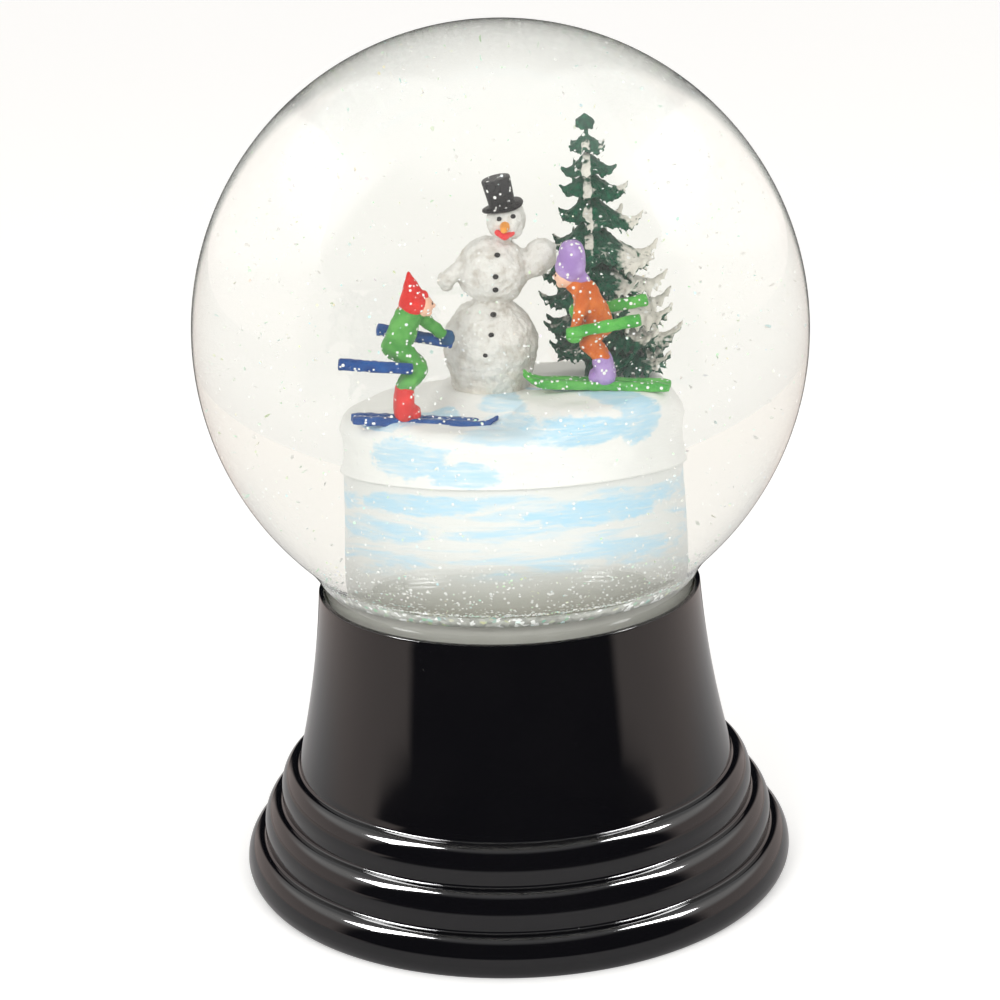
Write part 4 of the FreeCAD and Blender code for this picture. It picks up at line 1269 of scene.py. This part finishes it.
def make_camera():
    """The photograph's view: a little above the globe, and turned by a couple of degrees."""
    tilt, roll = math.radians(CAMERA_ELEVATION), math.radians(CAMERA_ROLL)
    back = Vector((0, -math.cos(tilt), math.sin(tilt)))
    right, up = Vector((1, 0, 0)), Vector((0, math.sin(tilt), math.cos(tilt)))
    turned_right = right * math.cos(roll) + up * math.sin(roll)
    turned_up = up * math.cos(roll) - right * math.sin(roll)
    data = bpy.data.cameras.new("camera")
    data.lens = CAMERA_LENS
    data.clip_start = 0.01
    camera = bpy.data.objects.new("camera", data)
    spot = (Vector(CAMERA_AIM) + back * CAMERA_DISTANCE) * MM
    turn = Matrix((turned_right, turned_up, back)).transposed().to_4x4()
    camera.matrix_world = Matrix.Translation(spot) @ turn
    bpy.context.scene.collection.objects.link(camera)
    bpy.context.scene.camera = camera


def mirrored(s):
    """1 for a ray that a polished surface has thrown back, and 0 for one that passed through glass."""
    path = s.node("LightPath")
    return s.math("MULTIPLY", path.outputs["Is Glossy Ray"], path.outputs["Is Reflection Ray"])


def dark_sector(s, across, ahead, clear=0.50, full=0.60):
    """1 where a direction or place lies in front of the globe or behind it, and 0 at its sides."""
    front = s.over(s.times(ahead, -1.0), s.most(s.length(across, ahead), 0.0001))
    return s.most(s.step(front, clear, full), s.step(front, -0.86, -0.93))


def make_stage():
    """A wide pale table; polished pieces see it end a little way out, in front and behind."""
    built = bmesh.new()
    spots = [(x * FLOOR_HALF, y * FLOOR_HALF, 0.0) for x, y in ((-1, -1), (1, -1), (1, 1), (-1, 1))]
    built.faces.new([built.verts.new(spot) for spot in spots])
    mesh = as_mesh(built, "pale_floor")
    s = Shader("pale_floor")
    across, ahead, _ = s.axes()
    out = s.node("VectorMath", {0: s.place}, operation="LENGTH").outputs["Value"]
    seen = mirrored(s)
    wide = s.times(dark_sector(s, across, ahead, 0.22, 0.36), s.step(out, 0.22, 0.42))
    ends = s.most(dark_sector(s, across, ahead), wide)
    ends = s.times(s.times(ends, s.step(out, 0.072, 0.115)), seen)
    beyond = s.times(s.step(out, 0.10, 0.17), seen)
    tone = s.mix(seen, FLOOR_WHITE, (0.60, 0.59, 0.60))
    tone = s.mix(beyond, tone, (0.80, 0.69, 0.65))
    tone = s.mix(ends, tone, (0.012, 0.012, 0.016))
    inputs = {"Base Color": tone, "Roughness": 0.9, "Specular IOR Level": 0.1}
    pale = s.node("BsdfPrincipled", inputs).outputs[0]
    strength = s.times(s.minus(0.27, s.times(seen, 0.20)), s.minus(1.0, ends))
    glow = s.node("Emission", {"Color": (1, 1, 1, 1), "Strength": strength}).outputs[0]
    mesh.materials.append(s.done(s.node("AddShader", {0: pale, 1: glow}).outputs[0]))
    mesh.transform(Matrix.Scale(MM, 4))
    floor = bpy.data.objects.new("pale_floor", mesh)
    bpy.context.scene.collection.objects.link(floor)


def softbox(name, azimuth, elevation, distance, width, height, power, polished=None):
    """A rectangular lamp that faces the globe. It lights the scene, or else shows only as a highlight
    in the polished piece."""
    data = bpy.data.lights.new(name, "AREA")
    data.shape = "RECTANGLE"
    data.size, data.size_y = width * MM, height * MM
    data.energy = power
    lamp = bpy.data.objects.new(name, data)
    lamp.visible_glossy = polished is not None
    lamp.visible_diffuse = polished is None
    lamp.visible_transmission = False
    if polished is not None:
        seen_by = bpy.data.collections.new(f"{name}_seen_by")
        seen_by.objects.link(polished)
        lamp.light_linking.receiver_collection = seen_by
    turn, rise = math.radians(azimuth), math.radians(elevation)
    way = Vector((math.sin(turn) * math.cos(rise), -math.cos(turn) * math.cos(rise), math.sin(rise)))
    lamp.location = (LAMP_AIM + way * distance) * MM
    lamp.rotation_euler = way.to_track_quat("Z", "Y").to_euler()
    bpy.context.scene.collection.objects.link(lamp)


def make_world():
    """An even pale studio; polished surfaces see it dark low in front and behind, warm at the sides."""
    s = Shader("studio", world=True)
    across, ahead, up = s.axes()
    low = s.step(up, 0.62, 0.45)
    dark = s.times(dark_sector(s, across, ahead, 0.14, 0.34), s.step(up, 0.97, 0.80))
    side = s.times(s.step(s.math("ABSOLUTE", across), 0.45, 0.7), s.step(up, 0.40, 0.60))
    seen = s.mix(low, (1.0, 1.0, 1.0), (1.05, 0.90, 0.85))
    seen = s.mix(side, seen, (2.2, 2.15, 2.1))
    seen = s.mix(dark, seen, (0.012, 0.013, 0.018))
    lighting = s.node("LightPath").outputs["Is Diffuse Ray"]
    lit = s.mix(lighting, (1.06, 1.015, 0.975), (0.775, 0.76, 0.74))
    colour = s.mix(mirrored(s), lit, seen)
    background = s.node("Background", {"Color": colour, "Strength": 1.0}).outputs[0]
    world = s.done(background, output="OutputWorld")
    world.cycles.sampling_method = "NONE"
    bpy.context.scene.world = world


def make_lights(polished):
    """Two soft lamps in front, and one on each side that only the polished piece shows."""
    for name, lamp in KEYS.items():
        softbox(name, *lamp)
    for name, lamp in HIGHLIGHTS.items():
        softbox(name, *lamp, polished=polished)


make_camera()
make_stage()
make_world()
make_glass()
make_water()
make_lights(make_base())
make_felt()
make_stopper()
make_pedestal()
make_terrain()
make_snowman()
make_tree()
make_skiers()
make_settled()
make_drifting()
for node, material in (("bottom_cover", board_material()), ("neck_adhesive", glue_material())):
    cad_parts[node].data.materials.clear()
    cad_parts[node].data.materials.append(material)

bpy.context.scene.view_settings.view_transform = "Standard"
